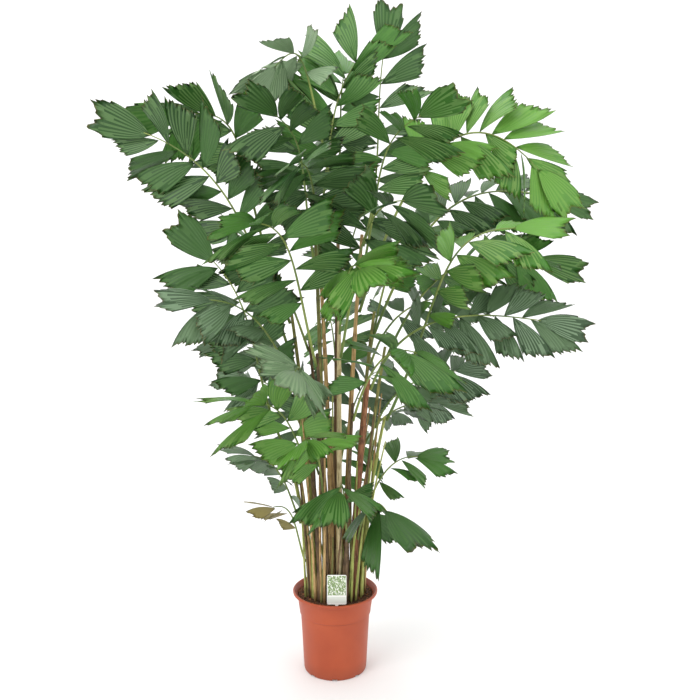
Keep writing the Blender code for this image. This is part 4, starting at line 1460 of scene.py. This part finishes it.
@dataclass
class Soil:
    """Potting soil: an uneven top inside the pot, strewn with crumbs of bark.

    Attributes:
        radius: Radius of its top.
        rings: Rings of the top.
        segments: Corners of a ring.
        wall: Radius and height of its rings below the top.
        wave_count: Waves that make the top uneven.
        wave_pace: Slowest and fastest wave, in radians a metre.
        wave_shift: Largest shift of a wave, in radians.
        unevenness: Height of the waves.
        settling: Share of that height by which the top lies lower.
        crumb_size: Radius of a crumb before its own scale.
        crumb_least: Least scale of a crumb, by axis.
        crumb_most: Greatest scale.
        crumbs_per_area: Crumbs in a square metre.
        seed: Seed of waves and crumbs.
    """

    radius: float = 0.1132
    rings: int = 26
    segments: int = 80
    wall: tuple[tuple[float, float], ...] = (
        (0.1022, POT_STEP_HEIGHT - 0.004), (0.0915, 0.0065), (0.086, 0.0034))
    wave_count: int = 7
    wave_pace: tuple[float, float] = (40, 160)
    wave_shift: float = 6
    unevenness: float = 0.0022
    settling: float = 0.3
    crumb_size: float = 0.0042
    crumb_least: tuple[float, float, float] = (0.35, 0.3, 0.2)
    crumb_most: tuple[float, float, float] = (1.5, 1.0, 0.6)
    crumbs_per_area: float = 21000.0
    seed: int = 5

    def build(self) -> None:
        """Build the soil body and its crumbs."""
        chance = random.Random(self.seed)
        waves = [(chance.uniform(*self.wave_pace), chance.uniform(*self.wave_pace),
                  chance.uniform(0, self.wave_shift)) for _ in range(self.wave_count)]
        shape = bmesh.new()
        middle = shape.verts.new((0, 0, SOIL_TOP))
        rows = []
        for ring in range(1, self.rings + 1):
            row = []
            for x, y, height in circle(self.radius * ring / self.rings, SOIL_TOP, self.segments):
                lift = sum(math.sin(x * a + y * b + c) for a, b, c in waves) / len(waves)
                row.append(shape.verts.new((x, y, height + self.unevenness * (lift - self.settling))))
            rows.append(row)
        for radius, height in self.wall:
            rows.append([shape.verts.new(point) for point in circle(radius, height, self.segments)])
        top_faces = []
        for side in range(self.segments):
            after = (side + 1) % self.segments
            top_faces.append(shape.faces.new((middle, rows[0][side], rows[0][after])))
            for index, (inner, outer) in enumerate(zip(rows, rows[1:])):
                face = shape.faces.new((inner[side], outer[side], outer[after], inner[after]))
                if index < self.rings - 1:
                    top_faces.append(face)
        shape.faces.new(list(reversed(rows[-1])))
        bmesh.ops.recalc_face_normals(shape, faces=shape.faces)
        mesh = bpy.data.meshes.new("soil_body")
        shape.to_mesh(mesh)
        kept = set(top_faces)
        bmesh.ops.delete(shape, geom=[face for face in shape.faces if face not in kept], context="FACES")
        top = mesh_of("soil_top", shape)
        piece = as_object("soil_body", mesh, [BarkSoil().material("bark_and_coir_soil")])
        dress(piece, ["soil"])
        self.build_crumbs(top)

    def build_crumbs(self, top: bpy.types.Mesh) -> None:
        """Strew crumbs over the soil's top by a geometry tree.

        Args:
            top: The top face.
        """
        tree = bpy.data.node_groups.new("strewn_crumbs", "GeometryNodeTree")
        for name, kind in (("Top", "NodeSocketGeometry"), ("Crumb size", "NodeSocketFloat"),
                           ("Crumbs per area", "NodeSocketFloat"), ("Seed", "NodeSocketInt")):
            tree.interface.new_socket(name=name, in_out="INPUT", socket_type=kind)
        tree.interface.new_socket(name="Crumbs", in_out="OUTPUT", socket_type="NodeSocketGeometry")
        given = tree.nodes.new("NodeGroupInput")
        spots = add_node(tree, "GeometryNodeDistributePointsOnFaces", {
            "Mesh": given.outputs["Top"], "Density": given.outputs["Crumbs per area"],
            "Seed": given.outputs["Seed"]})
        crumb = add_node(tree, "GeometryNodeMeshIcoSphere", {
            "Radius": given.outputs["Crumb size"], "Subdivisions": 1})
        turn = add_node(tree, "FunctionNodeRandomValue", {
            0: (0.0, 0.0, 0.0), 1: (math.tau, math.tau, math.tau), "Seed": given.outputs["Seed"]},
            data_type="FLOAT_VECTOR")
        size = add_node(tree, "FunctionNodeRandomValue", {
            0: self.crumb_least, 1: self.crumb_most, "Seed": given.outputs["Seed"]},
            data_type="FLOAT_VECTOR")
        strewn = add_node(tree, "GeometryNodeInstanceOnPoints", {
            "Points": spots.outputs[0], "Instance": crumb.outputs[0],
            "Rotation": turn.outputs[0], "Scale": size.outputs[0]})
        real = add_node(tree, "GeometryNodeRealizeInstances", {0: strewn.outputs[0]})
        dressed = add_node(tree, "GeometryNodeSetMaterial", {
            "Geometry": real.outputs[0], "Material": BarkSoil().material("bark_crumbs")})
        add_node(tree, "NodeGroupOutput", {0: dressed.outputs[0]})
        source = put("soil_top", top)
        modifier = source.modifiers.new("crumbs", "NODES")
        modifier.node_group = tree
        values = {"Crumb size": self.crumb_size, "Crumbs per area": self.crumbs_per_area, "Seed": self.seed}
        for socket in tree.interface.items_tree:
            if socket.in_out == "INPUT" and socket.name in values:
                modifier[socket.identifier] = values[socket.name]
        mesh = plain_mesh(source)
        bpy.data.objects.remove(source)
        mesh.name = "soil_crumbs"
        piece = as_object("soil_crumbs", mesh, [], smooth=False)
        dress(piece, [])


@dataclass
class Label:
    """Stick-in card with rounded corners on a pointed foot.

    Attributes:
        width: Width of the card.
        height: Height of the card above its foot.
        thickness: Thickness of the card.
        spike_width: Width of the pointed foot where it meets the card.
        spike_length: Length of the pointed foot.
        corner: Radius of the rounded corners.
        corner_steps: Steps round a corner.
        place: Where it stands on the soil.
        lean: How far it leans back.
    """

    width: float = 0.058
    height: float = 0.086
    thickness: float = 0.001
    spike_width: float = 0.012
    spike_length: float = 0.005
    corner: float = 0.004
    corner_steps: int = 6
    place: tuple[float, float] = (0.006, -0.099)
    lean: float = math.radians(8)

    def outline(self) -> list[tuple[float, float]]:
        """Draw the card's outline, from the foot's left corner round.

        Returns:
            Its corners.
        """
        half = self.width / 2
        foot = self.spike_length
        top = foot + self.height
        spike = self.spike_width / 2
        line = [(-spike / 2, 0.0), (spike / 2, 0.0), (spike, foot)]
        arcs = ((half, foot, -90), (half, top, 0), (-half, top, 90), (-half, foot, 180))
        for x, y, start in arcs:
            centre_x = x - math.copysign(self.corner, x)
            centre_y = y + self.corner if y == foot else y - self.corner
            for step in range(self.corner_steps + 1):
                angle = math.radians(start + 90 * step / self.corner_steps)
                line.append((centre_x + self.corner * math.cos(angle),
                             centre_y + self.corner * math.sin(angle)))
        line.append((-spike, foot))
        return line

    def build(self) -> None:
        """Build the card."""
        outline = self.outline()
        half = self.thickness / 2
        shape = bmesh.new()
        front = [shape.verts.new((x, y, half)) for x, y in outline]
        back = [shape.verts.new((x, y, -half)) for x, y in outline]
        shape.faces.new(front)
        shape.faces.new(list(reversed(back)))
        for index in range(len(outline)):
            after = (index + 1) % len(outline)
            shape.faces.new((front[after], front[index], back[index], back[after]))
        bmesh.ops.recalc_face_normals(shape, faces=shape.faces)
        uv = shape.loops.layers.uv.new("card")
        for face in shape.faces:
            for loop in face.loops:
                point = loop.vert.co
                loop[uv].uv = (point.x / self.width + 0.5, (point.y - self.spike_length) / self.height)
        bmesh.ops.triangulate(shape, faces=[face for face in shape.faces if len(face.verts) > 4])
        mesh = mesh_of("label_card", shape)
        stand = Matrix.Rotation(math.pi / 2 - self.lean, 4, "X")
        lift = CLEAR + math.sin(self.lean) * self.thickness
        mesh.transform(Matrix.Translation((*self.place, SOIL_TOP + lift)) @ stand)
        piece = as_object("label_card", mesh, [LabelCard().material()], smooth=False)
        dress(piece, ["label"])


@dataclass
class Studio:
    """Pale floor and backdrop, soft lights, and the camera of the photograph.

    Attributes:
        camera_place: The camera's place, fitted to the photograph.
        camera_pitch: Its tilt, 90 degrees being level.
        sensor: Width of its sensor, in millimetres.
        focal_length: Its focal length, in millimetres, from 940 pixels in a frame of 700.
        shift_y: Its lens shift.
        floor_size: Width of the floor.
        wall_distance: How far behind the plant the wall stands.
        wall_height: Height of the wall.
        sweep: Radius of the sweep between floor and wall.
        sweep_steps: Steps of the sweep.
        lamps: Name, place, side of the face and watts of each lamp.
        aim: What the lamps look at.
    """

    camera_place: tuple[float, float, float] = (0.0456, -2.83, 1.45)
    camera_pitch: float = math.radians(86.5)
    sensor: float = 36.0
    focal_length: float = 940 / 700 * 36
    shift_y: float = -0.1368
    floor_size: float = 14.0
    wall_distance: float = 4.0
    wall_height: float = 8.0
    sweep: float = 1.6
    sweep_steps: int = 12
    lamps: tuple = (("key", (-2.6, -3.0, 3.6), 2.2, 80.0), ("fill", (3.0, -2.6, 2.0), 2.6, 25.0),
                    ("top", (0.0, 0.6, 4.2), 3.0, 60.0))
    aim: tuple[float, float, float] = (0.0, 0.0, 1.1)

    def build(self) -> None:
        """Set the stage."""
        bpy.context.scene.view_settings.view_transform = "Standard"
        self.backdrop()
        self.world()
        for lamp in self.lamps:
            self.light(*lamp)
        camera = bpy.data.cameras.new("camera")
        camera.sensor_width = self.sensor
        camera.lens = self.focal_length
        camera.shift_y = self.shift_y
        holder = put("camera", camera)
        holder.location = self.camera_place
        holder.rotation_euler = (self.camera_pitch, 0.0, 0.0)
        bpy.context.scene.camera = holder

    def backdrop(self) -> None:
        """Floor that sweeps up into a wall behind the plant."""
        half = self.floor_size / 2
        line = [(-half, 0.0), (self.wall_distance - self.sweep, 0.0)]
        for step in range(1, self.sweep_steps + 1):
            angle = math.pi / 2 * step / self.sweep_steps
            line.append((self.wall_distance - self.sweep + self.sweep * math.sin(angle),
                         self.sweep * (1 - math.cos(angle))))
        line.append((self.wall_distance, self.wall_height))
        points = [(x, y, z) for y, z in line for x in (-half, half)]
        faces = [(2 * i, 2 * i + 1, 2 * i + 3, 2 * i + 2) for i in range(len(line) - 1)]
        mesh = bpy.data.meshes.new("studio_floor")
        mesh.from_pydata(points, [], faces)
        made, tree, shader = start_material("matt_white_paper")
        feed(tree, shader, {"Base Color": linear("FBFBFB"), "Roughness": 0.95})
        as_object("studio_floor", mesh, [made])

    def world(self) -> None:
        """Even white light from all round."""
        world = bpy.data.worlds.new("studio_light")
        world.use_nodes = True
        sky = world.node_tree.nodes["Background"]
        feed(world.node_tree, sky, {"Color": linear("FFFFFF"), "Strength": 1.0})
        bpy.context.scene.world = world

    def light(self, name: str, place: tuple[float, float, float], size: float, power: float) -> None:
        """Hang a soft square light that looks at the plant's middle.

        Args:
            name: Its name.
            place: Its place.
            size: Side of its face.
            power: Watts.
        """
        lamp = bpy.data.lights.new(name, "AREA")
        lamp.size = size
        lamp.energy = power
        holder = put(name, lamp)
        holder.location = place
        way = Vector(self.aim) - Vector(place)
        holder.rotation_euler = way.to_track_quat("-Z", "Y").to_euler()


def main() -> None:
    """Build the camera and stage, then every piece of the plant."""
    logging.basicConfig(level=logging.INFO, format="%(message)s")
    Studio().build()
    Foliage().build()
    StemClump().build()
    OldStalks().build()
    Pot().build()
    Soil().build()
    Label().build()


if __name__ == "__main__":
    main()
